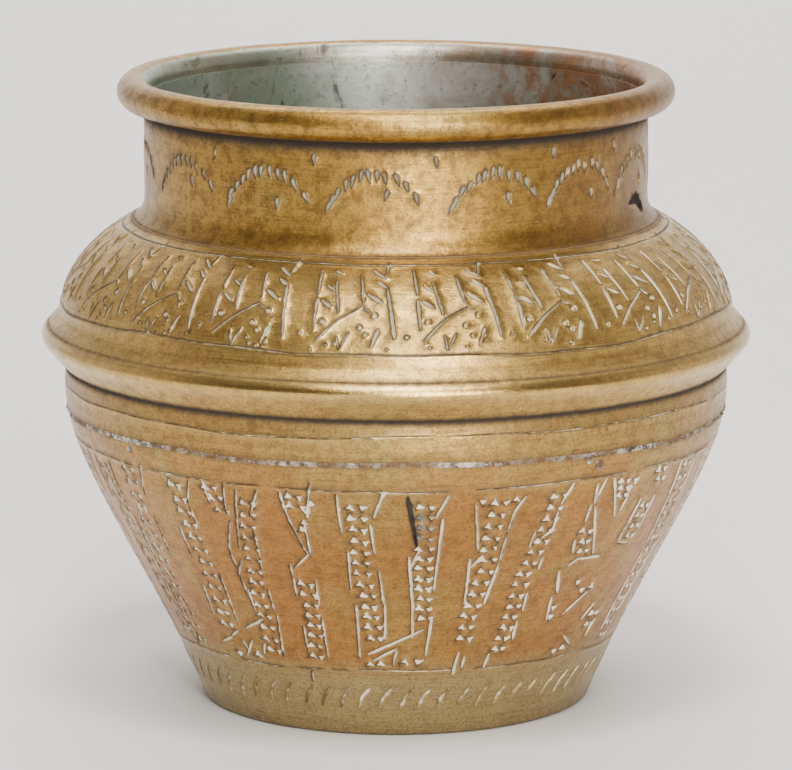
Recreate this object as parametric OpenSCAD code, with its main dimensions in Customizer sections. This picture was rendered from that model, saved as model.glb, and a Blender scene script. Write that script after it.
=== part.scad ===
// Beaten brass water pot: conical bowl, plain belt, carinated shoulder, wide neck and a wired lip.
// Millimetres. The origin is the centre of the standing face and +Z points up through the mouth.
// Every piece is a ring about Z, drawn as a section in (radius, height).

/* [Sheet metal] */
// Thickness of the beaten brass sheet
sheet_t = 1.2; // [1:0.05:1.3]
// Thickness of the film of braze or solder between two lapped sheets
braze_t = 0.15; // [0.1:0.01:0.2]
// Thickness of the tin coat on the inside
tin_t = 0.2; // [0.1:0.05:0.3]

/* [Mouth] */
// Overall height, to the top of the lip
pot_h = 142; // [139:0.5:145]
// Outside radius of the rolled lip's round section
lip_r = 3.6; // [3.4:0.1:4]
// Clearance between the wire and the sheet that is rolled round it
wire_gap = 0.1; // [0.05:0.01:0.2]
// Where the lip's edge stops short of the neck wall, in degrees round the wire
lip_end = -125; // [-125:1:-100]

/* [Neck] */
// Outside radius of the neck
neck_r = 56.6; // [56.4:0.1:57]
// Radius of the flare at the neck's foot
foot_fillet = 5.5; // [5.3:0.1:5.7]
// Height at which the flare starts
foot_top = 114.6; // [114.4:0.1:114.8]
// How far the flare turns outward, in degrees
foot_turn = 60; // [58:1:62]
// How much of that turn the shoulder's edge laps under, in degrees
lap_turn = 40; // [30:1:40]

/* [Shoulder and ridge] */
// Radius at the ridge, the widest place
ridge_r = 80; // [79.5:0.1:80.5]
// Height of the ridge
ridge_z = 83.5; // [83.2:0.1:83.8]
// Outside radius of the ridge's nose
nose_r = 2.2; // [2:0.1:2.4]
// Slope of both faces of the ridge from upright, in degrees
flank_a = 42; // [40:1:44]
// Length of the ridge's upper face
flank_l = 4.2; // [4:0.1:4.4]
// Radius of the hollow between the ridge and the shoulder
hollow_r = 2.2; // [2:0.1:2.4]
// Slope from upright at which the shoulder rises out of that hollow, in degrees
rise_a = 9; // [8:1:10]
// Pull of the shoulder curve at its lower end
rise_pull = 9; // [8:0.5:10]
// Pull of the shoulder curve at its upper end
crown_pull = 11.8; // [11:0.2:12.4]

/* [Belt] */
// Outside radius of the belt below the ridge
belt_r = 74.8; // [74.7:0.05:74.9]
// Height at which the belt starts to draw in toward the seam
belt_draw_z = 70; // [69.5:0.5:71]
// Amount by which the belt draws in at the seam
belt_draw = 0.35; // [0.2:0.05:0.4]

/* [Seam] */
// Height of the middle of the soldered seam
seam_z = 67; // [66.5:0.1:67.5]
// Width of the open groove at the seam
seam_w = 1.1; // [0.9:0.1:1.3]
// Height to which the bowl's edge runs up inside the belt
bowl_top = 73; // [72:0.5:75]

/* [Bowl and base] */
// Inside radius of the flange turned in at the foot
flange_r = 39; // [38:0.5:40]
// Radius of the rounded foot edge
edge_r = 1.6; // [1.5:0.1:1.8]
// Radius to the centre of that rounded edge
edge_at = 42.5; // [42.3:0.1:42.7]
// Slope of the bowl wall from upright at the foot, in degrees
wall_a = 21.8; // [20:0.2:23]
// Pull of the wall curve at the foot
wall_pull = 30; // [28:0.5:31]
// Radius of the bowl at the seam
bowl_r = 74.3; // [74.2:0.05:74.4]
// Slope of the wall from upright at the seam, in degrees
top_a = 11.3; // [10:0.1:13]
// Pull of the wall curve at the seam
top_pull = 16.3; // [15:0.1:17]
// Radius of the base disc
disc_r = 42.3; // [42.1:0.1:42.4]

/* [Hidden] */
turn_fn = 128;
lip_steps = 30;
fillet_steps = 6;
curve_steps = 22;

// A point at an angle and distance from a centre, in the (radius, height) plane
function polar(c, r, a) = [c[0] + r * cos(a), c[1] + r * sin(a)];
function arc(c, r, a0, a1, n) = [for (i = [0:n]) polar(c, r, a0 + (a1 - a0) * i / n)];
function blend(p, t) = pow(1 - t, 3) * p[0] + 3 * pow(1 - t, 2) * t * p[1]
    + 3 * (1 - t) * t * t * p[2] + t * t * t * p[3];
function bezier(p, n) = [for (i = [0:n]) blend(p, i / n)];
function tail(p, k) = [for (i = [k:len(p) - 1]) p[i]];
function head(p, k) = [for (i = [0:k]) p[i]];
function reversed(p) = [for (i = [len(p) - 1:-1:0]) p[i]];

// Offsetting a path that runs up the outer face by a distance toward the inside
function edge_normal(p, i) = let (d = p[i + 1] - p[i]) [-d[1], d[0]] / norm(d);
function before(p, i) = edge_normal(p, max(i - 1, 0));
function after(p, i) = edge_normal(p, min(i, len(p) - 2));
function inward(p, i) = (before(p, i) + after(p, i)) / (1 + before(p, i) * after(p, i));
function shifted(p, d) = [for (i = [0:len(p) - 1]) p[i] + d * inward(p, i)];

// Lip and neck
lip_at = [neck_r - sheet_t + lip_r, pot_h - lip_r];
wire_hole_r = lip_r - sheet_t;
foot_at = [neck_r + foot_fillet, foot_top];
foot_a = 180 + foot_turn;
foot_edge_a = foot_a - 1.5;
lap_end_a = foot_a - lap_turn;
lap_r = foot_fillet + sheet_t + braze_t;
neck_face = concat(
    arc(foot_at, foot_fillet, foot_edge_a, 180, fillet_steps),
    arc(lip_at, wire_hole_r, 180, lip_end, lip_steps)
);

// Ridge and shoulder, from the hem under the ridge up to the edge lapped under the neck
nose_at = [ridge_r - nose_r, ridge_z];
up = [sin(flank_a), cos(flank_a)];
back = [-up[0], up[1]];
nose = arc(nose_at, nose_r, -flank_a, flank_a, 2 * fillet_steps);
hem_z = seam_z + 10.05;
hem_l = (nose[0][1] - hem_z) / up[1];
flank_end = nose[len(nose) - 1] + flank_l * back;
hollow_at = flank_end + hollow_r * [cos(flank_a), sin(flank_a)];
hollow = arc(hollow_at, hollow_r, 180 + flank_a, 180 + rise_a, fillet_steps);
rise = hollow[fillet_steps];
crown = polar(foot_at, foot_fillet, foot_a);
shoulder_curve = bezier([
    rise,
    rise + rise_pull * [-sin(rise_a), cos(rise_a)],
    crown + crown_pull * [sin(foot_turn), -cos(foot_turn)],
    crown
], curve_steps);
shoulder_face = concat(
    [nose[0] - hem_l * up],
    nose,
    hollow,
    tail(shoulder_curve, 1),
    arc(foot_at, lap_r, foot_a, lap_end_a, fillet_steps)
);
shoulder_inner = shifted(shoulder_face, sheet_t);

// Where the belt's upper edge meets the inside of the hollow under the shoulder
belt_joint = arc(hollow_at, hollow_r + sheet_t, 180 + flank_a, 200, fillet_steps);
belt_top = belt_joint[fillet_steps];
belt_in = belt_r - sheet_t;
tongue_r = belt_in - braze_t;
seam_low = seam_z - seam_w / 2;
seam_high = seam_z + seam_w / 2;

// Bowl, from the flange under the base up to the edge inside the belt
edge_c = [edge_at, edge_r];
foot_edge = arc(edge_c, edge_r, -90, -wall_a, fillet_steps);
wall_start = foot_edge[fillet_steps];
wall_end = [bowl_r, seam_low];
wall_curve = bezier([
    wall_start,
    wall_start + wall_pull * [sin(wall_a), cos(wall_a)],
    wall_end - top_pull * [sin(top_a), cos(top_a)],
    wall_end
], curve_steps);
bowl_face = concat(
    [[flange_r, 0]],
    foot_edge,
    tail(wall_curve, 1),
    [[tongue_r, seam_low], [tongue_r, bowl_top]]
);
bowl_inner = shifted(bowl_face, sheet_t);
disc_z = sheet_t + braze_t;
disc_top = disc_z + sheet_t;
fillet_w = 1.2;
fillet_at = fillet_steps + 2;

// The whole inside surface, from the middle of the base to the mouth
lining_top = pot_h - lip_r - 1;
hollow_inner = arc(hollow_at, hollow_r + sheet_t, 200, 180 + rise_a, 2);
shoulder_start = len(nose) + len(hollow) + 1;
inside = concat(
    [[0, disc_top], [disc_r - fillet_w, disc_top]],
    tail(bowl_inner, fillet_at),
    [[belt_in, bowl_top], [belt_in, belt_top[1]]],
    hollow_inner,
    tail(shoulder_inner, shoulder_start),
    arc(foot_at, foot_fillet + sheet_t, lap_end_a, 180, 3),
    [[neck_r - sheet_t, lining_top]]
);

module ring(section) {
    rotate_extrude($fn = turn_fn) polygon(section);
}

// A ring of sheet whose outer face is the given path and whose thickness lies inside it
module sheet_ring(face, t) {
    ring(concat(face, reversed(shifted(face, t))));
}

// Neck tube: its foot flares onto the shoulder and its top is rolled outward round the wire
module neck_collar() {
    color([0.62, 0.48, 0.25]) sheet_ring(neck_face, sheet_t);
}

// Round iron wire that stiffens the lip
module rim_wire() {
    color([0.35, 0.30, 0.27])
        rotate_extrude($fn = turn_fn)
            translate(lip_at)
                circle(r = wire_hole_r - wire_gap, $fn = 32);
}

// Braze between the neck's flared foot and the shoulder's edge
module neck_braze() {
    color([0.60, 0.33, 0.20])
        ring(concat(
            [crown],
            [polar(foot_at, foot_fillet, foot_edge_a)],
            arc(foot_at, foot_fillet + sheet_t, foot_edge_a, lap_end_a, fillet_steps),
            arc(foot_at, lap_r, lap_end_a, foot_a, fillet_steps)
        ));
}

// Shoulder: domed above, spread to the ridge, turned back under it and trimmed against the belt
module shoulder_dome() {
    color([0.66, 0.52, 0.28])
        difference() {
            sheet_ring(shoulder_face, sheet_t);
            translate([0, 0, seam_z]) cylinder(r = belt_r + braze_t, h = ridge_z - seam_z, $fn = turn_fn);
        }
}

// Braze above and below the ridge's hollow, where the belt meets the shoulder
module ridge_braze() {
    hem_inner = shoulder_inner[0];
    hem_top = hem_inner[1] + (belt_r + braze_t - hem_inner[0]) * up[1] / up[0];
    hem_low = hem_z + (belt_r + braze_t - shoulder_face[0][0]) * up[1] / up[0];
    color([0.58, 0.42, 0.24]) {
        ring(concat(belt_joint, [[belt_r, belt_top[1]], [belt_r, belt_joint[0][1]]]));
        ring([
            [belt_r, hem_low],
            [belt_r + braze_t, hem_low],
            [belt_r + braze_t, hem_top],
            [belt_r, hem_top]
        ]);
    }
}

// Plain belt between the seam and the ridge, running on up inside the shoulder
module belly_belt() {
    color([0.64, 0.46, 0.22])
        ring([
            [belt_in, seam_high],
            [belt_r - belt_draw, seam_high],
            [belt_r, belt_draw_z],
            [belt_r, belt_top[1]],
            [belt_in, belt_top[1]]
        ]);
}

// Soft solder that fills the groove and the lap between the belt and the bowl
module seam_solder() {
    color([0.66, 0.62, 0.54])
        ring([
            [tongue_r, seam_low],
            [bowl_r, seam_low],
            [bowl_r + braze_t, seam_z],
            [belt_r - belt_draw, seam_high],
            [belt_in, seam_high],
            [belt_in, bowl_top],
            [tongue_r, bowl_top]
        ]);
}

// Lower bowl: a flange turned in at the foot, a nearly straight wall and an edge let into the belt
module lower_bowl() {
    color([0.65, 0.45, 0.24]) sheet_ring(bowl_face, sheet_t);
}

// Flat disc that closes the foot, resting on the bowl's flange
module base_disc() {
    color([0.60, 0.47, 0.26])
        translate([0, 0, disc_z]) cylinder(r = disc_r, h = sheet_t, $fn = turn_fn);
}

// Braze under the disc and in the corner round its edge
module base_braze() {
    color([0.56, 0.40, 0.24])
        ring(concat(
            head(bowl_inner, fillet_at),
            [
                [disc_r - fillet_w, disc_top],
                [disc_r, disc_top],
                [disc_r, disc_z],
                [flange_r, disc_z]
            ]
        ));
}

// Tin wiped over the whole inside, from the base to just below the lip
module tin_lining() {
    color([0.70, 0.70, 0.68]) sheet_ring(inside, tin_t);
}

neck_collar();
rim_wire();
neck_braze();
shoulder_dome();
ridge_braze();
belly_belt();
seam_solder();
lower_bowl();
base_disc();
base_braze();
tin_lining();
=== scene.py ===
"""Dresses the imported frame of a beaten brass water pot: chased skins, solder, tin and finishes."""
import math
import random

import bmesh
import bpy
import numpy as np
from mathutils import Matrix, Vector
from mathutils.geometry import delaunay_2d_cdt


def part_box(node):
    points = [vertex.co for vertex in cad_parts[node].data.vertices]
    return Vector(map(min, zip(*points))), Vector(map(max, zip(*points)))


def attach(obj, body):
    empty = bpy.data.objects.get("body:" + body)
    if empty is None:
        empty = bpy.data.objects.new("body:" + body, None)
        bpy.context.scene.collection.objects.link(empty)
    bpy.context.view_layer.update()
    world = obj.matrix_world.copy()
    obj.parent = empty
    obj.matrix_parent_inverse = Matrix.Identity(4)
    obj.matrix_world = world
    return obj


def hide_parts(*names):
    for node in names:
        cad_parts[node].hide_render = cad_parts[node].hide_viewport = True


bl_info = {
    "name": "Beaten brass water pot",
    "version": (1, 0, 0),
    "blender": (4, 5, 0),
    "location": "View3D > Sidebar > Water Pot",
    "description": "Builds the chased, planished and tinned skins of a brass water pot on its CAD frame",
    "category": "Object",
}

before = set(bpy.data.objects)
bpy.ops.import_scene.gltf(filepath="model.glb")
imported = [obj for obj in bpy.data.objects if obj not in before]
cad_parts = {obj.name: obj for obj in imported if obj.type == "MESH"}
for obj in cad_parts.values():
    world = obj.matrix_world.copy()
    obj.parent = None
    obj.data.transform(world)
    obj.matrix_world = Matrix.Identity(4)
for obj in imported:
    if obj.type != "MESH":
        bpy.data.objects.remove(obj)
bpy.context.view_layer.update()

MM = 0.001

# The grid of every skin: columns round the pot, and millimetres from row to row of a chased face
COLUMNS = 240
ROW_MM = 1.5

# The burr beside a mark: where its crest and its outer end lie, in millimetres, and its height as a
# share of a full mark's depth
BURR_AT = 0.12
BURR_END = 0.42
BURR_SHARE = 0.22


# Sizes that the frame gives, in millimetres

def reach(node):
    """Largest radius of a CAD node."""
    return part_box(node)[1].x / MM


def top(node):
    """Height of a CAD node's highest point."""
    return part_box(node)[1].z / MM


def foot(node):
    """Height of a CAD node's lowest point."""
    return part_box(node)[0].z / MM


# Paths in the (radius, height) plane, in millimetres and degrees

def polar(centre, radius, angle):
    """The point at an angle on a circle, from the outward direction toward up."""
    turn = math.radians(angle)
    return (centre[0] + radius * math.cos(turn), centre[1] + radius * math.sin(turn))


def arc(centre, radius, start, stop, steps):
    return [polar(centre, radius, start + (stop - start) * i / steps) for i in range(steps + 1)]


def bezier(points, steps):
    """A cubic curve with its two ends and two handles."""
    points = np.array(points, float)
    path = []
    for i in range(steps + 1):
        t = i / steps
        weight = np.array([(1 - t) ** 3, 3 * (1 - t) ** 2 * t, 3 * (1 - t) * t * t, t ** 3])
        path.append(tuple(weight @ points))
    return path


def leaning(start, length, angle):
    """The point at a distance from start, in a direction measured from upright toward the outside."""
    turn = math.radians(angle)
    return (start[0] + length * math.sin(turn), start[1] + length * math.cos(turn))


def between_points(first, last, shares):
    """Points at shares of the way from one point to another."""
    return [tuple(a + (b - a) * share for a, b in zip(first, last)) for share in shares]


def inset(path, depth):
    """The same path moved to the inside of the sheet, with mitred corners."""
    path = np.array(path, float)
    step = np.diff(path, axis=0)
    normal = np.stack([-step[:, 1], step[:, 0]], 1) / np.hypot(step[:, 0], step[:, 1])[:, None]
    before = np.vstack([normal[:1], normal])
    after = np.vstack([normal, normal[-1:]])
    bend = np.sum(before * after, axis=1)
    inner = path + depth * (before + after) / (1 + bend)[:, None]
    keep = list(range(len(path)))
    folded = True
    while folded:
        folded = [(a, b) for a, b in zip(keep, keep[1:]) if (inner[b] - inner[a]) @ (path[b] - path[a]) < 0]
        if folded:
            first, second = folded[0]
            keep.remove(first if bend[first] > bend[second] else second)
    return [tuple(inner[i]) for i in keep]


class Face:
    """The outer face of a ring of sheet: a path up the outside, measured along its length."""

    def __init__(self, path):
        self.path = np.array(path, float)
        step = np.diff(self.path, axis=0)
        length = np.hypot(step[:, 0], step[:, 1])
        self.run = np.concatenate([[0.0], np.cumsum(length)])
        outward = np.stack([step[:, 1], -step[:, 0]], 1) / length[:, None]
        corner = np.vstack([outward[:1], outward[:-1] + outward[1:], outward[-1:]])
        self.outward = corner / np.hypot(corner[:, 0], corner[:, 1])[:, None]

    def at(self, run):
        return np.interp(run, self.run, self.path[:, 0]), np.interp(run, self.run, self.path[:, 1])

    def point(self, run):
        """One place on the path as a pair."""
        return tuple(float(value) for value in self.at(run))

    def normal(self, run):
        """Outward directions, of length one."""
        across = np.interp(run, self.run, self.outward[:, 0])
        upward = np.interp(run, self.run, self.outward[:, 1])
        size = np.hypot(across, upward)
        return across / size, upward / size

    def run_at(self, height):
        """Distance along the path at which it reaches a height."""
        return float(np.interp(height, self.path[:, 1], self.run))


class PotSection:
    """The section of every sheet, repeated from the CAD part so that the skins lie on its solids."""

    def __init__(self):
        # Thicknesses
        self.sheet = top("base_disc") - foot("base_disc")
        self.braze = 0.15
        self.tin = 0.2

        # Neck and lip: the lip's roll, the wall and the fillet at its foot, with the shoulder's lap on it
        self.pot_h = top("neck_collar")
        self.lip_r = 3.6
        self.lip_end = -125
        self.neck_r = 56.6
        self.neck_in = self.neck_r - self.sheet
        self.foot_fillet = 5.5
        self.foot_at = (self.neck_r + self.foot_fillet, 114.6)
        self.foot_a = 240
        self.lap_end = 200
        self.lip_at = (self.neck_in + self.lip_r, self.pot_h - self.lip_r)

        # Shoulder: the ridge's nose, the flank above it, the hollow and the rise to the neck
        self.ridge_r = reach("shoulder_dome")
        self.ridge_z = 83.5
        self.nose_r = 2.2
        self.flank_a = 42
        self.flank_l = 4.2
        self.hollow_r = 2.2
        self.rise_a = 9
        self.rise_pull = 9
        self.crown_pull = 11.8

        # Belt and seam: the belt is drawn in at its foot, and the hem ends on it
        self.belt_r = reach("belly_belt")
        self.belt_in = self.belt_r - self.sheet
        self.belt_draw = 0.35
        self.belt_draw_z = 70.0
        self.seam_z = 67.0
        self.seam_low = foot("seam_solder")
        self.seam_high = self.seam_z + 0.55
        self.hem_z = self.seam_z + 10.05

        # Bowl: its flange, its foot's edge, its wall with a handle at each end, and its tongue
        self.bowl_top = top("lower_bowl")
        self.bowl_r = 74.3
        self.flange_r = 39.0
        self.edge_r = 1.6
        self.edge_at = 42.5
        self.wall_a = 21.8
        self.wall_pull = 30
        self.top_a = 11.3
        self.top_pull = 16.3
        self.tongue_r = self.belt_in - self.braze

        self.disc_r = reach("base_disc")
        self.disc_top = top("base_disc")

        self.draw_bowl()
        self.draw_shoulder()
        self.draw_belt()
        self.draw_neck()
        self.draw_lining()

    def draw_bowl(self):
        edge = arc((self.edge_at, self.edge_r), self.edge_r, -90, -self.wall_a, 10)
        start, end = edge[-1], (self.bowl_r, self.seam_low)
        low_handle = leaning(start, self.wall_pull, self.wall_a)
        high_handle = leaning(end, -self.top_pull, self.top_a)
        wall = bezier([start, low_handle, high_handle, end], 48)
        self.foot_edge = [(self.flange_r, 0.0)] + edge
        self.tongue = [wall[-1], (self.tongue_r, self.seam_low), (self.tongue_r, self.bowl_top)]
        self.bowl = self.foot_edge + wall[1:-1] + self.tongue
        self.bowl_wall = Face(wall)
        self.bowl_inside = inset(self.bowl, self.sheet)

    def draw_shoulder(self):
        lean = math.radians(self.flank_a)
        nose_at = (self.ridge_r - self.nose_r, self.ridge_z)
        self.nose = arc(nose_at, self.nose_r, -self.flank_a, self.flank_a, 16)
        start = self.nose[0]
        self.hem = leaning(start, -(start[1] - self.hem_z) / math.cos(lean), self.flank_a)
        flank_end = leaning(self.nose[-1], self.flank_l, -self.flank_a)
        self.hollow_at = polar(flank_end, self.hollow_r, self.flank_a)
        self.hollow = arc(self.hollow_at, self.hollow_r, 180 + self.flank_a, 180 + self.rise_a, 8)
        rise = self.hollow[-1]
        crown = polar(self.foot_at, self.foot_fillet, self.foot_a)
        low_handle = leaning(rise, self.rise_pull, -self.rise_a)
        high_handle = polar(crown, self.crown_pull, self.foot_a - 270)
        curve = bezier([rise, low_handle, high_handle, crown], 40)
        lap_r = self.foot_fillet + self.sheet + self.braze
        lap = arc(self.foot_at, lap_r, self.foot_a, self.lap_end, 8)
        self.shoulder_dome = Face(curve)
        self.crown = curve[-1:] + lap
        low = [self.hem] + self.nose + self.hollow
        inside = inset(low + curve[1:] + lap, self.sheet)
        hem_r = self.belt_r + self.braze
        hem_top = inside[0][1] + (hem_r - inside[0][0]) / math.tan(lean)
        self.shoulder_inside = [(hem_r, hem_top)] + inside[1:]
        self.dome_inside = inside[len(low):]

    def draw_belt(self):
        joint = polar(self.hollow_at, self.hollow_r + self.sheet, self.lap_end)
        self.belt_top = joint[1]
        self.belt = Face([(self.belt_r - self.belt_draw, self.seam_high), (self.belt_r, self.belt_draw_z),
                          (self.belt_r, self.belt_top)])

    def draw_neck(self):
        fillet = arc(self.foot_at, self.foot_fillet, self.foot_a - 1.5, 180, 14)
        self.neck_roll = arc(self.lip_at, self.lip_r - self.sheet, 180, self.lip_end, 40)
        heights = (120.0, 126.0, 132.0, self.neck_roll[0][1])
        self.neck_wall = Face(fillet + [(self.neck_r, z) for z in heights])
        self.neck_inside = inset(fillet + self.neck_roll, self.sheet)

    def draw_lining(self):
        """The tin's outer face, from the middle of the base up to just under the lip."""
        lining_top = self.pot_h - self.lip_r - 1
        # The points of the bowl's inner face that the base disc covers
        under_disc = 13
        self.lining = [(r, self.disc_top) for r in (0.0, 20.0, self.disc_r - self.sheet)]
        self.lining += self.bowl_inside[under_disc:]
        self.lining += [(self.belt_in, self.bowl_top), (self.belt_in, self.belt_top)]
        self.lining += arc(self.hollow_at, self.hollow_r + self.sheet, self.lap_end, 180 + self.rise_a, 4)
        self.lining += self.dome_inside
        self.lining += arc(self.foot_at, self.foot_fillet + self.sheet, self.lap_end, 180, 5)
        self.lining += [(self.neck_in, z) for z in (122.0, 130.0, lining_top)]


SECTION = PotSection()


def seam_wave(turn):
    """How far the hand-cut seam strays up or down at an angle in radians, in millimetres."""
    return (0.30 * np.sin(turn * 2 + 2.2) + 0.22 * np.sin(turn * 5 + 0.4)
            + 0.16 * np.sin(turn * 9 + 1.9) + 0.10 * np.sin(turn * 17 + 0.7))


# Where the skins are darkened: radius, height, how far it reaches, how brown it is and how black, in
# millimetres. Under the lip, under the hem and along the seam this is painted shade for the shadows there;
# the other rows darken the joint, the flank above the ridge's nose and the foot's edge
CREVICES = (
    (57.0, 133.9, 2.0, 1.0, 1.0),   # the neck, close under the lip
    (58.6, 134.8, 1.7, 1.0, 0.7),   # the corner under the lip
    (60.4, 134.8, 1.0, 0.7, 0.0),   # the lip's underside
    (59.4, 109.9, 0.7, 0.8, 0.2),   # the joint of neck and shoulder
    (75.1, 76.9, 1.05, 1.0, 1.0),   # the hem, on the belt
    (78.5, 86.0, 0.5, 0.8, 0.0),    # above the ridge's nose
    (74.8, 67.1, 0.75, 1.0, 0.8),   # the seam
    (42.5, 0.0, 2.0, 0.7, 0.0),     # the foot's edge
)

# How much faster the black darkening fades than the brown
BLACK_FADES = 3.5

# Runs of solder below the seam: angle in degrees, then height, half width and half height in millimetres
SOLDER_RUNS = (
    (36.6, 64.9, 1.1, 1.7),
    (34.4, 65.7, 0.8, 0.8),
    (-52.0, 65.3, 0.7, 1.0),
    (118.0, 64.8, 0.9, 1.5),
)

# How far above, below and inward of the seam the sheet follows its straying, in millimetres
SEAM_REACH = 4.0
SEAM_INWARD = 1.5


def soil_and_shade(radius, height):
    """Brown and black darkening at points of the section: dirt, and painted shade in the creases under the
    lip, the hem and along the seam.
    """
    brown = np.zeros(len(radius))
    black = np.zeros(len(radius))
    for at_r, at_z, spread, brownness, blackness in CREVICES:
        away = ((radius - at_r) ** 2 + (height - at_z) ** 2) / spread ** 2
        brown = np.maximum(brown, brownness * np.exp(-away))
        black = np.maximum(black, blackness * np.exp(-away * BLACK_FADES))
    return brown, black


def near_seam(height):
    """Share of the seam's straying that the sheet follows at a height."""
    return np.clip(1 - np.abs(height - SECTION.seam_z) / SEAM_REACH, 0, 1)


# Tool marks, laid out on the unrolled face: X is the angle times a reference radius, Y the run

class Mark:
    """A tool mark. gauge() gives, for points beside it, how deep inside they are and how far outside."""

    burr_out = 0.3

    def __init__(self, at, squeeze, depth=1.0, burr=1.0, fill=0.9, brim=1.0, grime=1.0, black=0.0, floor="v"):
        self.at = np.array(at, float)
        self.squeeze = squeeze
        self.depth = depth
        self.burr = burr
        self.fill = fill
        self.brim = brim
        self.grime = grime
        self.black = black
        self.floor = floor

    def place(self, local):
        """Plane points from local millimetres."""
        return np.array(local, float).reshape(-1, 2) * (self.squeeze, 1) + self.at

    def local(self, plane):
        return (plane - self.at) / (self.squeeze, 1)

    def box(self, margin):
        spots = self.place(self.outline)
        return (spots.min(0) - (margin * self.squeeze, margin),
                spots.max(0) + (margin * self.squeeze, margin))


class Stroke(Mark):
    """A chisel stroke or a teardrop: a line of stations, each with a half-width."""

    def __init__(self, at, squeeze, line, widths, **style):
        super().__init__(at, squeeze, **style)
        self.line = np.array(line, float)
        self.widths = np.maximum(np.array(widths, float), 0.04)
        ahead = np.gradient(self.line, axis=0)
        ahead /= np.maximum(np.hypot(ahead[:, 0], ahead[:, 1]), 1e-9)[:, None]
        self.ahead = ahead
        self.aside = np.stack([-ahead[:, 1], ahead[:, 0]], 1)
        self.outline = np.vstack([self.line + self.aside * self.widths[:, None],
                                  self.line - self.aside * self.widths[:, None]])

    def mesh(self):
        """Points and edges that carry the mark: its floor, its outline and the burr round it."""
        offsets = [0.0, 1.0, -1.0]
        if self.floor == "round":
            offsets += [0.6, -0.6]
        spots = []
        edges = []
        count = len(self.line)
        for share in offsets:
            start = len(spots)
            spots.extend(self.line + self.aside * (self.widths * share)[:, None])
            edges.extend((start + i, start + i + 1) for i in range(count - 1))
        for out in (BURR_AT, BURR_END):
            for side in (1, -1):
                spots.extend(self.line + self.aside * (side * (self.widths + out))[:, None])
            spots.append(self.line[0] - self.ahead[0] * (self.widths[0] + out))
            spots.append(self.line[-1] + self.ahead[-1] * (self.widths[-1] + out))
        return self.place(spots), edges

    def gauge(self, plane):
        spots = self.local(plane)
        gap = np.full(len(spots), 1e9)
        inside = np.zeros(len(spots))
        side = np.ones(len(spots))
        for i in range(len(self.line) - 1):
            start, step = self.line[i], self.line[i + 1] - self.line[i]
            share = np.clip((spots - start) @ step / max(step @ step, 1e-9), 0, 1)
            away = spots - start - share[:, None] * step
            width = self.widths[i] + (self.widths[i + 1] - self.widths[i]) * share
            distance = np.hypot(away[:, 0], away[:, 1])
            closer = distance - width < gap
            gap = np.where(closer, distance - width, gap)
            inside = np.where(closer, 1 - distance / width, inside)
            cross = step[0] * away[:, 1] - step[1] * away[:, 0]
            side = np.where(closer, np.sign(cross + 1e-12), side)
        left = side * (1 if self.ahead[0][1] > 0 else -1)
        return gap, inside, left


class Wedge(Mark):
    """A triangular punch mark."""

    def __init__(self, at, squeeze, width, height, turn, **style):
        super().__init__(at, squeeze, **style)
        corners = np.array([(-width / 2, -height / 3), (width / 2, -height / 3), (0, height * 2 / 3)])
        cosine, sine = math.cos(turn), math.sin(turn)
        self.outline = corners @ np.array([(cosine, sine), (-sine, cosine)])
        side = np.roll(self.outline, -1, axis=0) - self.outline
        self.normals = np.stack([side[:, 1], -side[:, 0]], 1) / np.hypot(side[:, 0], side[:, 1])[:, None]
        self.inradius = -((np.zeros(2) - self.outline) * self.normals).sum(1).max()

    def mesh(self):
        middle = (self.outline + np.roll(self.outline, -1, axis=0)) / 2
        spots = [*self.outline, *middle, *(self.outline * 0.45), np.zeros(2)]
        edges = [(0, 3), (3, 1), (1, 4), (4, 2), (2, 5), (5, 0), (6, 7), (7, 8), (8, 6)]
        reach_out = np.hypot(self.outline[:, 0], self.outline[:, 1])[:, None]
        for out in (BURR_AT, BURR_END):
            spots.extend(self.outline * (1 + out * 1.3 / reach_out))
            spots.extend(middle + self.normals * out)
        return self.place(spots), edges

    def gauge(self, plane):
        spots = self.local(plane)
        away = np.stack([(spots - self.outline[i]) @ self.normals[i] for i in range(3)], 1)
        gap = away.max(1)
        left = np.where(spots[:, 0] < 0, 1.0, -1.0)
        return gap, -gap / self.inradius, left


class Dot(Mark):
    """A round punch mark, dished or ring-shaped."""

    def __init__(self, at, squeeze, radius, **style):
        super().__init__(at, squeeze, **style)
        self.radius = radius
        self.outline = np.array(arc((0, 0), radius, 0, 315, 7))

    def mesh(self):
        spots = [(0.0, 0.0), *self.outline, *(self.outline * 0.55)]
        edges = [(1 + i, 1 + (i + 1) % 8) for i in range(8)]
        for out in (BURR_AT, BURR_END):
            spots.extend(self.outline * (1 + out / self.radius))
        return self.place(spots), edges

    def gauge(self, plane):
        spots = self.local(plane)
        distance = np.hypot(spots[:, 0], spots[:, 1])
        left = np.where(spots[:, 0] < 0, 1.0, -1.0)
        return distance - self.radius, 1 - distance / self.radius, left


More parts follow.
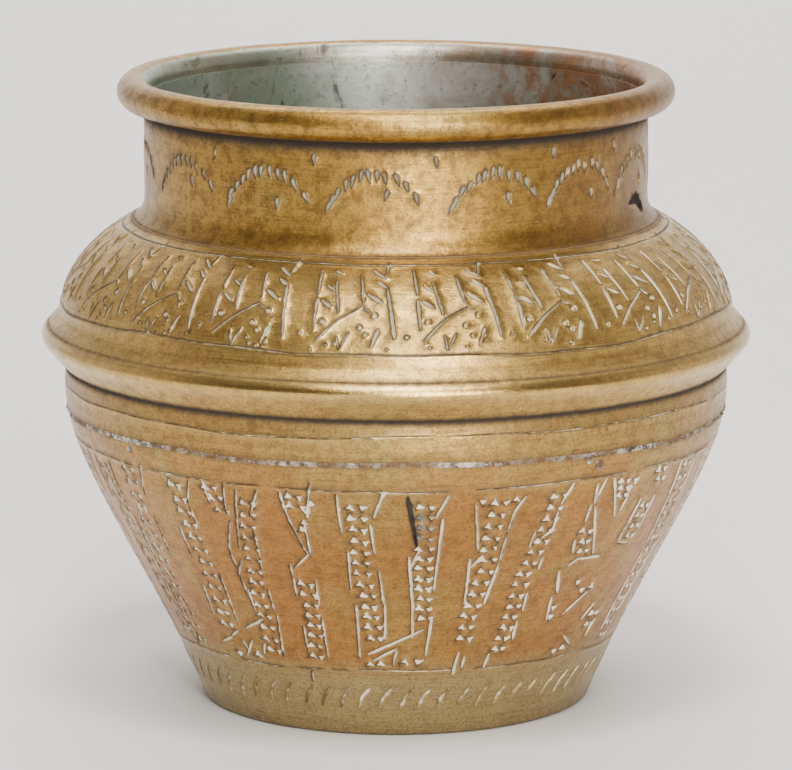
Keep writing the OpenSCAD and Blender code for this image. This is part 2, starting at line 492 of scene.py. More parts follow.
class Ring(Mark):
    """A line scribed right round the pot, a little wavy and unevenly deep."""

    def __init__(self, run, half_width, wander, reference, seed, gaps=0.5, burr_out=0.3, **style):
        super().__init__((0, run), 1.0, **style)
        self.half_width = half_width
        self.wander = wander
        self.reference = reference
        self.seed = seed
        self.gaps = gaps
        self.burr_out = burr_out
        self.outline = np.array([(-math.pi * reference, -wander), (math.pi * reference, wander)])

    def height(self, across):
        turn = across / self.reference
        phase = self.seed * 1.7
        return (self.wander * (0.55 * np.sin(turn * 3 + phase) + 0.3 * np.sin(turn * 7 + phase * 2)
                               + 0.15 * np.sin(turn * 19 + phase * 3)))

    def strength(self, across):
        turn = across / self.reference
        wave = (np.sin(turn * 11 + self.seed) + np.sin(turn * 23 + self.seed * 2)
                + np.sin(turn * 41 + self.seed * 3)) / 3
        return np.clip(1 - self.gaps + self.gaps * (0.5 + 1.6 * wave), 0.0, 1)

    def mesh(self):
        across = (np.arange(COLUMNS) + 0.5) / COLUMNS * math.tau * self.reference - math.pi * self.reference
        crest = self.half_width + BURR_AT
        end = self.half_width + self.burr_out
        offsets = (0.0, self.half_width, -self.half_width, crest, -crest, end, -end)
        spots = [np.stack([across, self.height(across) + offset], 1) for offset in offsets]
        edges = [(row * COLUMNS + i, row * COLUMNS + i + 1) for row in range(3) for i in range(COLUMNS - 1)]
        return np.vstack(spots) + self.at, edges

    def gauge(self, plane):
        rise = plane[:, 1] - self.at[1] - self.height(plane[:, 0])
        strength = self.strength(plane[:, 0])
        inside = (1 - np.abs(rise) / self.half_width)
        gap = np.where(strength > 0.02, np.abs(rise) - self.half_width, 9.0)
        return gap, np.where(inside > 0, inside * strength, inside), np.sign(rise + 1e-12)


# How far a hand strays from a stroke's line, in millimetres
HAND_SWAY = 0.035


def wrapped(degrees):
    """The same angle between -180 and 180 degrees."""
    return (degrees + 180) % 360 - 180


def off_edge(degrees, margin=4):
    """Whether a mark at an angle stays clear of the line behind the pot where a skin is closed."""
    return abs(degrees) < 180 - margin


class Layout:
    """Places marks by angle and height on one face."""

    def __init__(self, face, reference, rng):
        self.face = face
        self.reference = reference
        self.rng = rng
        self.marks = []

    def spot(self, degrees, height):
        """Where an angle and a height lie on the unrolled face."""
        return np.array([math.radians(degrees) * self.reference, self.face.run_at(height)])

    def squeeze(self, run):
        """How much wider than on the pot a mark has to be laid out."""
        return self.reference / float(self.face.at(run)[0])

    def stroke(self, points, width=0.31, end_width=0.12, step=1.4, **style):
        """A stroke through (degrees, height) points, cut with small unevenness."""
        plane = np.array([self.spot(*point) for point in points])
        at = plane.mean(0)
        squeeze = self.squeeze(at[1])
        local = (plane - at) / (squeeze, 1)
        lengths = np.hypot(*np.diff(local, axis=0).T)
        run = np.concatenate([[0], np.cumsum(lengths)])
        count = max(3, int(round(run[-1] / step)) + 1)
        along = np.linspace(0, run[-1], count)
        line = np.stack([np.interp(along, run, local[:, 0]), np.interp(along, run, local[:, 1])], 1)
        line[1:-1] += [[self.rng.gauss(0, HAND_SWAY), self.rng.gauss(0, HAND_SWAY)] for _ in range(count - 2)]
        thinning = np.linspace(1.1, 0.6, count)
        if self.rng.random() < 0.35:
            thinning = thinning[::-1]
        widths = [width * share * self.rng.uniform(0.9, 1.1) for share in thinning]
        widths[0] = max(end_width, widths[0] * 0.5)
        widths[-1] = max(end_width, widths[-1] * 0.35)
        self.marks.append(Stroke(at, squeeze, line, widths, **style))

    def drop(self, degrees, height, lean, length=2.6, head=0.72, **style):
        """A teardrop mark, wide at the top, leaning by an angle from upright toward +X."""
        at = self.spot(degrees, height)
        turn = math.radians(lean)
        along = np.array([math.sin(turn), math.cos(turn)])
        shares = np.array([-0.62, -0.35, -0.05, 0.22, 0.38])
        widths = head * np.array([0.14, 0.48, 0.86, 1.0, 0.62])
        widths *= self.rng.uniform(0.9, 1.1)
        style.setdefault("floor", "round")
        self.marks.append(Stroke(at, self.squeeze(at[1]), shares[:, None] * length * along, widths, **style))

    def wedge(self, degrees, height, size=1.0, down=False, **style):
        at = self.spot(degrees, height) + [self.rng.gauss(0, 0.12), self.rng.gauss(0, 0.12)]
        turn = math.radians((180 if down else 0) + self.rng.gauss(0, 6))
        size *= self.rng.uniform(0.9, 1.1)
        self.marks.append(Wedge(at, self.squeeze(at[1]), 1.95 * size, 1.6 * size, turn, **style))

    def dot(self, degrees, height, radius, **style):
        at = self.spot(degrees, height)
        self.marks.append(Dot(at, self.squeeze(at[1]), radius, **style))

    def ring(self, height, half_width, wander, seed, **style):
        self.marks.append(Ring(self.face.run_at(height), half_width, wander, self.reference, seed, **style))

    def strip(self, path, rows, gap, strokes, black=()):
        """Two columns of wedges down a path of (height, degrees), with strokes beside them."""
        path = np.array(path, float)
        run = np.concatenate([[0], np.cumsum(np.hypot(np.diff(path[:, 0]), np.diff(path[:, 1])))])
        for row in range(rows):
            place = run[-1] * (row + 0.2) / max(rows - 0.6, 1)
            height = float(np.interp(place, run, path[:, 0]))
            degrees = float(np.interp(place, run, path[:, 1]))
            size = 1.0 - 0.12 * row / rows
            dark = 0.8 if row in black else 0.0
            self.wedge(degrees, height, size, black=dark)
            self.wedge(degrees + gap, height - 0.3, size * 0.82, down=True, black=dark * 0.6)
        for stroke in strokes:
            self.stroke([(degrees, height) for height, degrees in stroke])


# The chased pattern of each face, in degrees round the pot and millimetres of height

# The bowl's strips: the path of each strip's wedges as (height, degrees), its number of rows, the
# degrees between its two columns, and the strokes beside it as lists of (height, degrees)
BOWL_STRIPS = (
    (((61, -55), (50, -56), (35, -57.5), (18, -58)), 14, 2.2, (
        ((62, -49.8), (54.5, -51.5)), ((49.5, -51.3), (40, -52)), ((52, -55), (46.5, -57)),
        ((45, -59), (32, -60)), ((31, -60), (20, -60.5)))),
    (((59.5, -43.3), (50.3, -42.6), (40, -42.4), (31.7, -43), (24.2, -43.9)), 12, 2.3, (
        ((48.5, -44.6), (41, -44.7)), ((34, -45.2), (26.3, -46)), ((60.6, -38.3), (55, -39.9)),
        ((54, -39.8), (48.5, -39.6)), ((38, -38.6), (26, -38.9)), ((23.4, -40), (21.9, -42.6)),
        ((21.4, -43), (19.8, -47)), ((21.5, -36.6), (17.4, -39.8)), ((21.2, -39.6), (18.3, -38.6)))),
    (((60.3, -35.2), (57, -34.2), (54.1, -33.3)), 3, 2.2, (
        ((61, -35.4), (55.5, -34.7)), ((61, -30.8), (54.2, -31.8)))),
    (((57.5, -27.8), (51.3, -28.9), (44.5, -29.7), (34.7, -31.3), (25.3, -31.7), (19.4, -31.9)), 14, 2.4, (
        ((59.8, -28.6), (52, -29.9), (45.2, -31.2)), ((52, -31.4), (44.6, -33.7), (40, -33.3)),
        ((42.6, -31.5), (38.2, -33.7)), ((38, -33.3), (33.5, -32.9)), ((34.8, -32.5), (29.5, -32.4)),
        ((27.7, -31.2), (26.4, -33.5), (24.6, -37)), ((21.2, -33), (18.6, -34)),
        ((60.2, -24.4), (54, -26.8)), ((50, -26.9), (43.3, -27)), ((43, -27.2), (40.5, -27.6)),
        ((35.5, -27.4), (30.2, -27.4)), ((29, -27), (22, -28), (18.8, -28.2)))),
    (((59.9, -19.1), (56.9, -18.7)), 2, 2.3, (
        ((60.3, -20.4), (53.8, -19.3), (45.6, -17)), ((63, -14.6), (54.5, -15.9)),
        ((54, -16.5), (45.5, -16.3)), ((45.6, -16.6), (41.6, -20.2)), ((42.6, -20.9), (34.5, -21)))),
    (((38.4, -19.6), (32.9, -19.4), (27, -19.6), (19.2, -20.6)), 8, 2.3, (
        ((39, -16.2), (32.5, -16.4)), ((29.4, -16.3), (19.5, -16.5)), ((27, -21.1), (20, -21.3)),
        ((15.6, -21.4), (13, -21.7)))),
    (((58.2, -8), (48.8, -7.8), (42.3, -7.8), (36, -6.8), (29, -6.2), (24.4, -5.6)), 13, 2.2, (
        ((60.5, -10.2), (51.3, -9.8)), ((46.5, -8.9), (37, -9.2)), ((33.2, -8.4), (22.6, -8.6)),
        ((22.4, -8.6), (19.8, -8.7)), ((61.2, -2.1), (55.2, -3.9)), ((53.4, -4.6), (46.3, -4)),
        ((42, -3.3), (33.6, -2.6)), ((34, -2.3), (24.6, -2.5)), ((20.8, -6.5), (25.4, 3), (27, 6)),
        ((19.2, -5.4), (22.2, 0)), ((21.8, 0.1), (18, -0.7)))),
    (((58.2, 4), (47, 4.3), (41.7, 4.2), (36.5, 4.6), (29.6, 5.4)), 12, 2.1, (
        ((45.4, 2.4), (33, 3.4), (25, 3.6)), ((47, 4.3), (43, 2.9)), ((60, 8.9), (55, 7)),
        ((54.6, 8.2), (45, 7.9), (37, 7.6)), ((29.6, 7.7), (20.3, 7)))),
    (((58.6, 17), (54.4, 16.7), (48.3, 16.4), (42, 16.8), (36.8, 15.8), (29.3, 14.7), (23.9, 14.5)),
     13, 2.4, (
        ((58, 13.8), (51, 14.8), (46.5, 15.4)), ((44.4, 14.1), (33, 14.5)), ((45.3, 16.6), (42.2, 14.4)),
        ((59, 22.9), (56, 21.3), (50.4, 20.7)), ((50, 20.6), (43, 20.3), (33, 18.8)),
        ((20.8, 15), (15, 14.2)), ((19.5, 16.6), (17, 16.3)))),
    (((58.8, 28.4), (52.4, 27.8), (46.3, 26.8), (40.1, 25.1), (34, 25), (27, 24.7), (20.4, 23.9)), 15, 2.2, (
        ((61, 31.9), (56.4, 30.2)), ((54.6, 29.9), (50, 29.9), (48.5, 28)), ((50.3, 26.3), (46.3, 25.8)),
        ((43.6, 29.4), (40.5, 29.3)), ((34.5, 28.4), (30, 28.6)), ((27.5, 28), (23, 28.2)),
        ((19.8, 22.8), (16.4, 22.2)))),
    (((49, 36.8), (46.4, 37.5), (43, 38.2)), 3, 2.0, (
        ((61, 38.9), (55.4, 37.5)), ((60, 37.2), (55.6, 37.5)), ((54.4, 38), (42.2, 42.1)),
        ((55, 36.9), (51, 36.8)), ((40.2, 36.6), (41.6, 38.4), (41.3, 44.6)), ((46.5, 35.9), (43.4, 36.3)),
        ((39, 34.7), (34, 35.9)), ((37.5, 35.3), (33.4, 36.4)), ((32.5, 35.3), (26.8, 36.1)),
        ((32.2, 45.5), (27.5, 40.6)))),
    (((60, 42.6), (55.9, 43.1)), 3, 1.9, (((60.8, 40.7), (51, 43.9)), ((55.8, 45.7), (52, 44.9)))),
    (((52.6, 51.3), (44.4, 50.8)), 4, 1.8, (
        ((54, 50), (44, 48.4)), ((54, 54.2), (46, 53.6)), ((43.6, 48.6), (43, 52)),
        ((28.5, 50.2), (25, 48)), ((24, 54), (20, 53)), ((21.5, 44), (19, 47.3)))),
    (((26.5, 51), (22.8, 51.2)), 2, 2.2, ()),
    (((60.7, 52.4), (57.8, 53.2)), 2, 2.0, ()),
    (((60, 62), (40, 63), (18, 62)), 15, 2.4, (
        ((61, 60), (41, 61)), ((39, 61.2), (20, 60.4)), ((60, 66), (44, 66.6)), ((41, 67), (24, 66)))),
)
BLACKENED_STRIP = 7
BLACKENED_ROWS = (1, 2, 3)
LONE_WEDGES = (
    (57.8, -14.9), (55.7, -15.7), (53.4, -16.7), (51.6, -17), (58.5, 15.2), (58.3, 21), (29.8, 37),
    (27.5, 37), (33, 43.5), (33.2, 46), (35.5, 41.5), (59.2, 46.9), (57, 45.4), (18, 42.4), (18.6, 45),
    (17.4, -42.4), (18.2, -36), (18.2, -6.4), (18.5, -3.6), (19, 2), (18.9, 5),
)
BACK_FROM = 74.0
BACK_TO = 296.0
BACK_STRIPS = 19
FOOT_STROKES = 68


def back_strip(layout, middle):
    """A plain strip for the side away from the viewer."""
    rng = layout.rng
    lean = rng.uniform(-1.6, 1.6)
    heights = (59.5, 50, 40, 30, 19.5)
    path = [(z, wrapped(middle + lean * (z - 40) / 22 + rng.gauss(0, 0.3))) for z in heights]
    turns = [degrees for z, degrees in path]
    # A strip that would cross the line where the skin is closed stands beside it instead
    if max(turns) - min(turns) > 90:
        turns = [176.0] * len(path)
        path = list(zip(heights, turns))
    strokes = []
    for side in (-1.9, 4.1):
        height = 61.0 + rng.uniform(-1, 1)
        while height > 24:
            length = rng.uniform(5, 11)
            at = float(np.interp(-height, [-z for z in heights], turns)) + side
            strokes.append(((height, at), (height - length, at + rng.gauss(0, 0.4))))
            height -= length + rng.uniform(0.5, 3)
    layout.strip(path, 13 + rng.randrange(3), 2.3, strokes)


def chase_bowl(seed):
    """Strips of paired wedges and long strokes down the bowl, a row of short strokes at its foot."""
    layout = Layout(SECTION.bowl_wall, 60.0, random.Random(seed))
    rng = layout.rng
    for number, (path, rows, gap, strokes) in enumerate(BOWL_STRIPS):
        black = BLACKENED_ROWS if number == BLACKENED_STRIP else ()
        layout.strip(path, rows, gap, strokes, black)
    for height, degrees in LONE_WEDGES:
        layout.wedge(degrees, height, 0.9, down=rng.random() < 0.5)
    layout.stroke([(2, 60), (2.9, 54), (3.8, 48)], width=0.5, black=0.9, fill=0.1)
    for number in range(BACK_STRIPS):
        back_strip(layout, BACK_FROM + (BACK_TO - BACK_FROM) * number / (BACK_STRIPS - 1))
    for number in range(FOOT_STROKES):
        degrees = wrapped(-41.5 + number * 360 / FOOT_STROKES + rng.gauss(0, 0.35))
        if off_edge(degrees):
            layout.stroke([(degrees, 7.0), (degrees + 1.0, 9.6), (degrees + 3.0, 11.8)], 0.5, 0.2,
                          fill=0.45, grime=0.55, depth=0.8, floor="round")
    layout.ring(61.3, 0.12, 0.45, 3, gaps=0.8, fill=0.6, brim=0.7, depth=0.4)
    layout.ring(16.2, 0.13, 0.6, 8, gaps=0.9, fill=0.5, brim=0.6, depth=0.4)
    return layout


# One repeat of the shoulder's frieze, in degrees from its start: upright strokes with their widths,
# the two ends of each leaf mark, and ring dots with their radii
FRIEZE_REPEATS = 20
FRIEZE_START = 3.3
FRIEZE_STROKES = (
    (((0, 107.2), (0.5, 103)), 0.34), (((0.4, 102.3), (0.7, 96.3)), 0.42),
    (((3.4, 105.6), (4.1, 102.5), (4.6, 99.6)), 0.34), (((7.9, 106.8), (8.8, 101.7)), 0.36),
    (((12.9, 104.2), (13.6, 100), (14.2, 94.6)), 0.42), (((1.3, 94.5), (4.6, 98.4), (8.8, 100.9)), 0.34),
    (((13.3, 109.0), (12.4, 106.4)), 0.3), (((9, 100.6), (10, 100)), 0.3),
    (((4.6, 95.4), (5, 92.8)), 0.28), (((6.6, 95.8), (5.2, 92.4)), 0.28),
)
FRIEZE_LEAVES = (
    ((3.0, 107.3), (4.2, 107.0)), ((1.9, 104.8), (3.4, 104.0)), ((1.3, 102.2), (3.2, 100.9)),
    ((10.3, 107.6), (12.6, 106.3)), ((11, 105.6), (12.8, 104.6)), ((9.5, 103.4), (12, 101.8)),
    ((11.5, 96.7), (10.4, 93.2)),
)
FRIEZE_DOTS = ((2.0, 98.2, 0.75), (10.8, 99.2, 0.8), (8.4, 97.0, 0.75), (9.4, 95.5, 0.65), (-1.6, 95.3, 0.55))


def chase_shoulder(seed):
    """Repeats of upright strokes, leaf marks and dots between two scribed lines."""
    layout = Layout(SECTION.shoulder_dome, 70.0, random.Random(seed))
    rng = layout.rng
    dotted = {"fill": 0.6, "brim": 0.1, "burr": 1.4}
    for repeat in range(FRIEZE_REPEATS):
        base = wrapped(FRIEZE_START + 360 / FRIEZE_REPEATS * repeat)
        jitter = rng.gauss(0, 0.25)
        for points, width in FRIEZE_STROKES:
            layout.stroke([(base + d + jitter, z + rng.gauss(0, 0.2)) for d, z in points], width * 0.82,
                          fill=0.9, brim=0.8, burr=1.6)
        for points in FRIEZE_LEAVES:
            layout.stroke([(base + d + jitter, z) for d, z in points], 0.46, 0.2, step=1.0,
                          fill=0.8, brim=0.5, burr=1.6, floor="round")
        for degrees, height, radius in FRIEZE_DOTS:
            layout.dot(base + degrees + jitter, height + rng.gauss(0, 0.2), radius, floor="ring", **dotted)
        for _ in range(5):
            degrees, height = base + rng.uniform(0, 14), rng.uniform(92.4, 94.6)
            layout.dot(degrees, height, rng.uniform(0.3, 0.5), floor="round", **dotted)
    layout.ring(108.5, 0.13, 0.25, 5, gaps=0.5, burr_out=0.6, fill=0.9, brim=1.0, depth=0.5)
    layout.ring(91.4, 0.16, 0.9, 2, gaps=0.4, burr_out=0.6, fill=0.65, brim=0.5, depth=0.6)
    return layout


# The neck's arches: their middles at the front in degrees and their number all round, the single
# drops between them, and the hooked tear at the foot as (degrees, height) with its half-widths
ARCH_FRONT = (-54.5, -29.5, -4.5, 23.0, 46.5, 69.5)
ARCH_COUNT = 14
ARCH_DROPS = 12
NECK_DROPS = ((8.9, 130.3), (-18.2, 130.5), (-44, 129.8), (37.2, 130.8), (57.8, 130.3))
NECK_TEAR = ((65.5, 116.1), (68, 116.6), (70.5, 116.3), (72.5, 114.8), (75, 113.4))
NECK_TEAR_WIDTHS = (0.3, 0.9, 1.15, 1.0, 0.5)


def chase_neck(seed):
    """Arches of teardrop marks round the neck, a drop inside each and between them."""
    layout = Layout(SECTION.neck_wall, 57.0, random.Random(seed))
    rng = layout.rng
    paste_and_glint = {"fill": 0.8, "brim": 0.2}
    back = ARCH_COUNT - len(ARCH_FRONT)
    span = 360 - (ARCH_FRONT[-1] - ARCH_FRONT[0])
    centres = list(ARCH_FRONT) + [ARCH_FRONT[-1] + span * (i + 1) / (back + 1) for i in range(back)]
    for centre in centres:
        for i in range(ARCH_DROPS):
            share = -1 + 1.85 * (i / (ARCH_DROPS - 1)) ** 1.25
            degrees = wrapped(centre + 10.5 * share + rng.gauss(0, 0.25))
            height = 127.3 - 7.2 * abs(share) ** 2.4 + rng.gauss(0, 0.2)
            if off_edge(degrees, 2):
                lean = -share * 27 + rng.gauss(0, 5)
                layout.drop(degrees, height, lean, rng.uniform(2.2, 2.7), 0.6, **paste_and_glint)
        inner = wrapped(centre + 2.5)
        if off_edge(inner):
            layout.drop(inner, rng.uniform(120.3, 123.3), rng.gauss(0, 8), 2.4, 0.6, **paste_and_glint)
    for degrees, height in NECK_DROPS:
        layout.drop(degrees, height, rng.gauss(0, 10), 2.3, 0.55, **paste_and_glint)
    for i in range(back):
        degrees = wrapped(ARCH_FRONT[-1] + span * (i + 0.5) / (back + 1))
        if off_edge(degrees):
            layout.drop(degrees, 130.3 + rng.gauss(0, 0.3), rng.gauss(0, 10), 2.3, 0.55, **paste_and_glint)
    # The tear is a deep mark, not a hole: painted black, a painted shade for the dark inside seen through it
    tear = np.array([layout.spot(*point) for point in NECK_TEAR])
    at = tear.mean(0)
    squeeze = layout.squeeze(at[1])
    layout.marks.append(Stroke(at, squeeze, (tear - at) / (squeeze, 1), NECK_TEAR_WIDTHS,
                               depth=2.0, black=1.0, fill=0.0, burr=0.4))
    return layout


def chase_belt(seed):
    """One wavy broken line that was scribed to set out the belt."""
    layout = Layout(SECTION.belt, 75.0, random.Random(seed))
    layout.ring(73.2, 0.1, 0.75, 4, gaps=0.6, burr_out=0.35, fill=0.55, brim=0.6, grime=0.7, depth=0.35)
    return layout


# What differs between a mark's left and right side: the burr's height, how far dirt and painted shade reach
# from the edge in millimetres, how dark they are and how much paste the brim holds.
# The left side gets more dark and less pale brim: painted shade, as if the marks were lit from the right
BURR_SIDES = (0.75, 1.15)
DIRT_AND_SHADE_REACH = (0.33, 0.14)
DIRT_AND_SHADE_SIDES = (1.0, 0.5)
BRIM_SIDES = (0.3, 0.75)

# How far round a mark its work and the grid's points are looked for, in millimetres
WORK_MARGIN = 1.2
MESH_MARGIN = 0.8

# How far the grid keeps from a burr's end, marks keep from a face's sides and ends, and how close two
# points may come before they are merged, in millimetres
GRID_GAP = 0.3
SIDE_GAP = 0.3
END_GAP = 0.15
MERGE_AT = 0.02


def floor_shape(kind, inside):
    """How deep a mark is at shares of the way from its edge to its middle line."""
    if kind == "round":
        return 1 - (1 - inside) ** 2
    if kind == "ring":
        return np.clip(1 - np.abs(inside - 0.4) / 0.4, 0, 1)
    return inside


def work_surface(plane, marks):
    """What the marks do at points of the unrolled face: rise or fall, their paste, the dirt and painted shade
    beside them, black and wear.
    """
    fall, burr, residue_and_glint, grime, black = np.zeros((5, len(plane)))
    order = np.argsort(plane[:, 0])
    across = plane[order, 0]
    for mark in marks:
        low, high = mark.box(WORK_MARGIN)
        first, last = np.searchsorted(across, (low[0], high[0]))
        near = order[first:last]
        near = near[(plane[near, 1] > low[1]) & (plane[near, 1] < high[1])]
        if not len(near):
            continue
        gap, inside, left = mark.gauge(plane[near])
        inside = np.clip(inside, 0, 1)
        left = left > 0
        heel = np.clip(1 - np.abs(gap - BURR_AT) / mark.burr_out, 0, 1) * (gap > -0.02)
        heel *= np.where(left, *BURR_SIDES)
        # Darker beside each mark, most on its left side: dirt and painted shade
        edge = np.exp(-(np.maximum(gap, -gap * 2) / np.where(left, *DIRT_AND_SHADE_REACH)) ** 2)
        edge *= np.where(left, *DIRT_AND_SHADE_SIDES)
        # Paler paste on the right-hand brim than on the left: painted light and shade
        brim = mark.brim * np.where(left, *BRIM_SIDES) * (gap < 0.01)
        # Black inside a mark: stain in some marks, painted shade in the tear
        black_inside = np.clip(1 - gap / BURR_AT, 0, 1)
        fall[near] = np.maximum(fall[near], mark.depth * floor_shape(mark.floor, inside))
        burr[near] = np.maximum(burr[near], mark.burr * heel)
        residue_and_glint[near] = np.maximum(residue_and_glint[near], mark.fill * np.clip(brim + inside * 2.0, 0, 1))
        grime[near] = np.maximum(grime[near], mark.grime * edge)
        black[near] = np.maximum(black[near], mark.black * black_inside)
    burr *= fall < 0.05
    return fall, burr, np.stack([residue_and_glint, grime, black, np.clip(burr, 0, 1)], 1)


class Shell:
    """One ring of sheet, gathered stretch by stretch and welded into a closed skin."""

    def __init__(self):
        self.points = []
        self.faces = []
        self.lift = []
        self.press = []
        self.dent = []
        self.work = []
        self.count = 0

    def add(self, turn, place, outward, faces, press, dent, work):
        """Adds points at angles, with places and outward directions in the (radius, height) plane."""
        radius, height = place
        across, upward = outward
        # Brown and black: dirt, and painted shade in the creases under the lip, under the hem and along the
        # seam
        brown, black = soil_and_shade(radius, height)
        work[:, 1] = np.maximum(work[:, 1], brown)
        work[:, 2] = np.maximum(work[:, 2], black)
        near_wall = radius > SECTION.belt_in - SEAM_INWARD
        height = height + seam_wave(turn) * near_seam(height) * near_wall
        sine, cosine = np.sin(turn), np.cos(turn)
        self.points.append(np.stack([radius * sine, -radius * cosine, height], 1) * MM)
        self.lift.append(np.stack([across * sine, -across * cosine, upward], 1))
        self.press.append(press)
        self.dent.append(dent)
        self.work.append(work)
        self.faces.extend(tuple(corner + self.count for corner in face) for face in faces)
        self.count += len(turn)

    def lattice(self, path, dent=0.0, wear_and_sheen=0.0):
        """A plain stretch: the path turned about the axis."""
        face = Face(path)
        rows, wide = len(path), COLUMNS + 1

        def each_row(values):
            return np.repeat(np.broadcast_to(values, rows).astype(float), wide)

        turn = np.tile(np.linspace(-math.pi, math.pi, wide), rows)
        corners = [i * wide + j for i in range(rows - 1) for j in range(COLUMNS)]
        faces = [(corner, corner + 1, corner + wide + 1, corner + wide) for corner in corners]
        work = np.zeros((rows * wide, 4))
        work[:, 3] = each_row(wear_and_sheen)
        self.add(turn, np.repeat(face.path, wide, axis=0).T, np.repeat(face.outward, wide, axis=0).T,
                 faces, each_row(0.0), each_row(dent), work)

    def chased(self, layout, start, stop):
        """A worked stretch of a face, triangulated so that every mark has its own edges."""
        face, reference = layout.face, layout.reference
        half = math.pi * reference
        wide = COLUMNS + 1
        rows = max(3, int(round((stop - start) / ROW_MM)))
        runs = np.linspace(start, stop, rows + 1)
        columns = np.linspace(-half, half, wide)
        pitch = columns[1] - columns[0]
        border = [(x, run) for run in (start, stop) for x in columns]
        border += [(x, run) for run in runs[1:-1] for x in (-half, half)]
        edges = [(row + j, row + j + 1) for row in (0, wide) for j in range(COLUMNS)]
        field = []
        for i, run in enumerate(runs[1:-1]):
            shifted = columns[1:-1] + 0.5 * pitch * (i % 2)
            field.extend((x, run) for x in shifted if x < half - 0.4 * pitch)
        field = np.array(field)
        keep = np.ones(len(field), bool)
        spots = []
        count = len(border)
        for mark in layout.marks:
            low, high = mark.box(MESH_MARGIN)
            near = np.nonzero(((field > low) & (field < high)).all(1))[0]
            if len(near):
                gap = mark.gauge(field[near])[0]
                keep[near[gap < BURR_END + GRID_GAP]] = False
            places, links = mark.mesh()
            spots.append(places)
            edges.extend((a + count, b + count) for a, b in links)
            count += len(places)
        low, high = (-half + SIDE_GAP, start + END_GAP), (half - SIDE_GAP, stop - END_GAP)
        spots = np.clip(np.vstack(spots), low, high)
        plane = np.vstack([border, spots, field[keep]])
        found = delaunay_2d_cdt([tuple(point) for point in plane], edges, [], 0, MERGE_AT, False)
        plane = np.array([tuple(point) for point in found[0]])
        fall, burr, work = work_surface(plane, layout.marks)
        turn = plane[:, 0] / reference
        turn = np.where(math.pi - np.abs(turn) < 1e-5, np.copysign(math.pi, turn), turn)
        self.add(turn, face.at(plane[:, 1]), face.normal(plane[:, 1]), [tuple(f) for f in found[2]],
                 burr * BURR_SHARE - fall, np.ones(len(plane)), work)

    def mesh(self, name):
        """The gathered stretches as one welded mesh that carries their attributes."""
        mesh = bpy.data.meshes.new(name)
        mesh.from_pydata(np.vstack(self.points).tolist(), [], self.faces)
        for title, kind, field, values in (
            ("lift", "FLOAT_VECTOR", "vector", np.vstack(self.lift)),
            ("press", "FLOAT", "value", np.concatenate(self.press)),
            ("dent", "FLOAT", "value", np.concatenate(self.dent)),
            ("chasing", "FLOAT_COLOR", "color", np.vstack(self.work)),
        ):
            attribute = mesh.attributes.new(title, kind, "POINT")
            attribute.data.foreach_set(field, values.astype(np.float32).ravel())
        welder = bmesh.new()
        welder.from_mesh(mesh)
        bmesh.ops.remove_doubles(welder, verts=welder.verts, dist=2e-6)
        bmesh.ops.dissolve_degenerate(welder, dist=1e-7, edges=welder.edges)
        welder.to_mesh(mesh)
        welder.free()
        mesh.validate()
        return mesh

# Node trees

def feed(tree, socket, value):
    """Links a socket to a signal or to another node's output, or sets it to a constant."""
    if isinstance(value, Signal):
        value = value.socket
    if isinstance(value, bpy.types.NodeSocket):
        tree.links.new(value, socket)
    else:
        socket.default_value = value


def place(tree, kind, settings=None, sockets=None):
    """Adds a node: its settings come first, then the values or links of its inputs."""
    node = tree.nodes.new(kind)
    for name, value in (settings or {}).items():
        setattr(node, name, value)
    for name, value in (sockets or {}).items():
        feed(tree, node.inputs[name], value)
    return node


class Signal:
    """A number in a node tree. Arithmetic on it adds the Math nodes."""

    def __init__(self, tree, socket):
        self.tree = tree
        self.socket = socket

    def math(self, operation, first, second=None, clamp=False):
        sockets = {0: first}
        if second is not None:
            sockets[1] = second
        node = place(self.tree, "ShaderNodeMath", {"operation": operation, "use_clamp": clamp}, sockets)
        return Signal(self.tree, node.outputs[0])

    def __add__(self, other):
        return self.math("ADD", self, other)

    __radd__ = __add__

    def __mul__(self, other):
        return self.math("MULTIPLY", self, other)

    __rmul__ = __mul__

    def __sub__(self, other):
        return self.math("SUBTRACT", self, other)

    def __rsub__(self, other):
        return self.math("SUBTRACT", other, self)

    def __truediv__(self, other):
        return self.math("DIVIDE", self, other)

    def __pow__(self, other):
        return self.math("POWER", self, other)

    def clamped(self):
        return self.math("ADD", self, 0.0, clamp=True)

    def between(self, low, high):
        """0 below low and 1 above high, smooth from one to the other."""
        node = place(self.tree, "ShaderNodeMapRange", {"interpolation_type": "SMOOTHSTEP"},
                     {"Value": self, "From Min": low, "From Max": high})
        return Signal(self.tree, node.outputs[0])


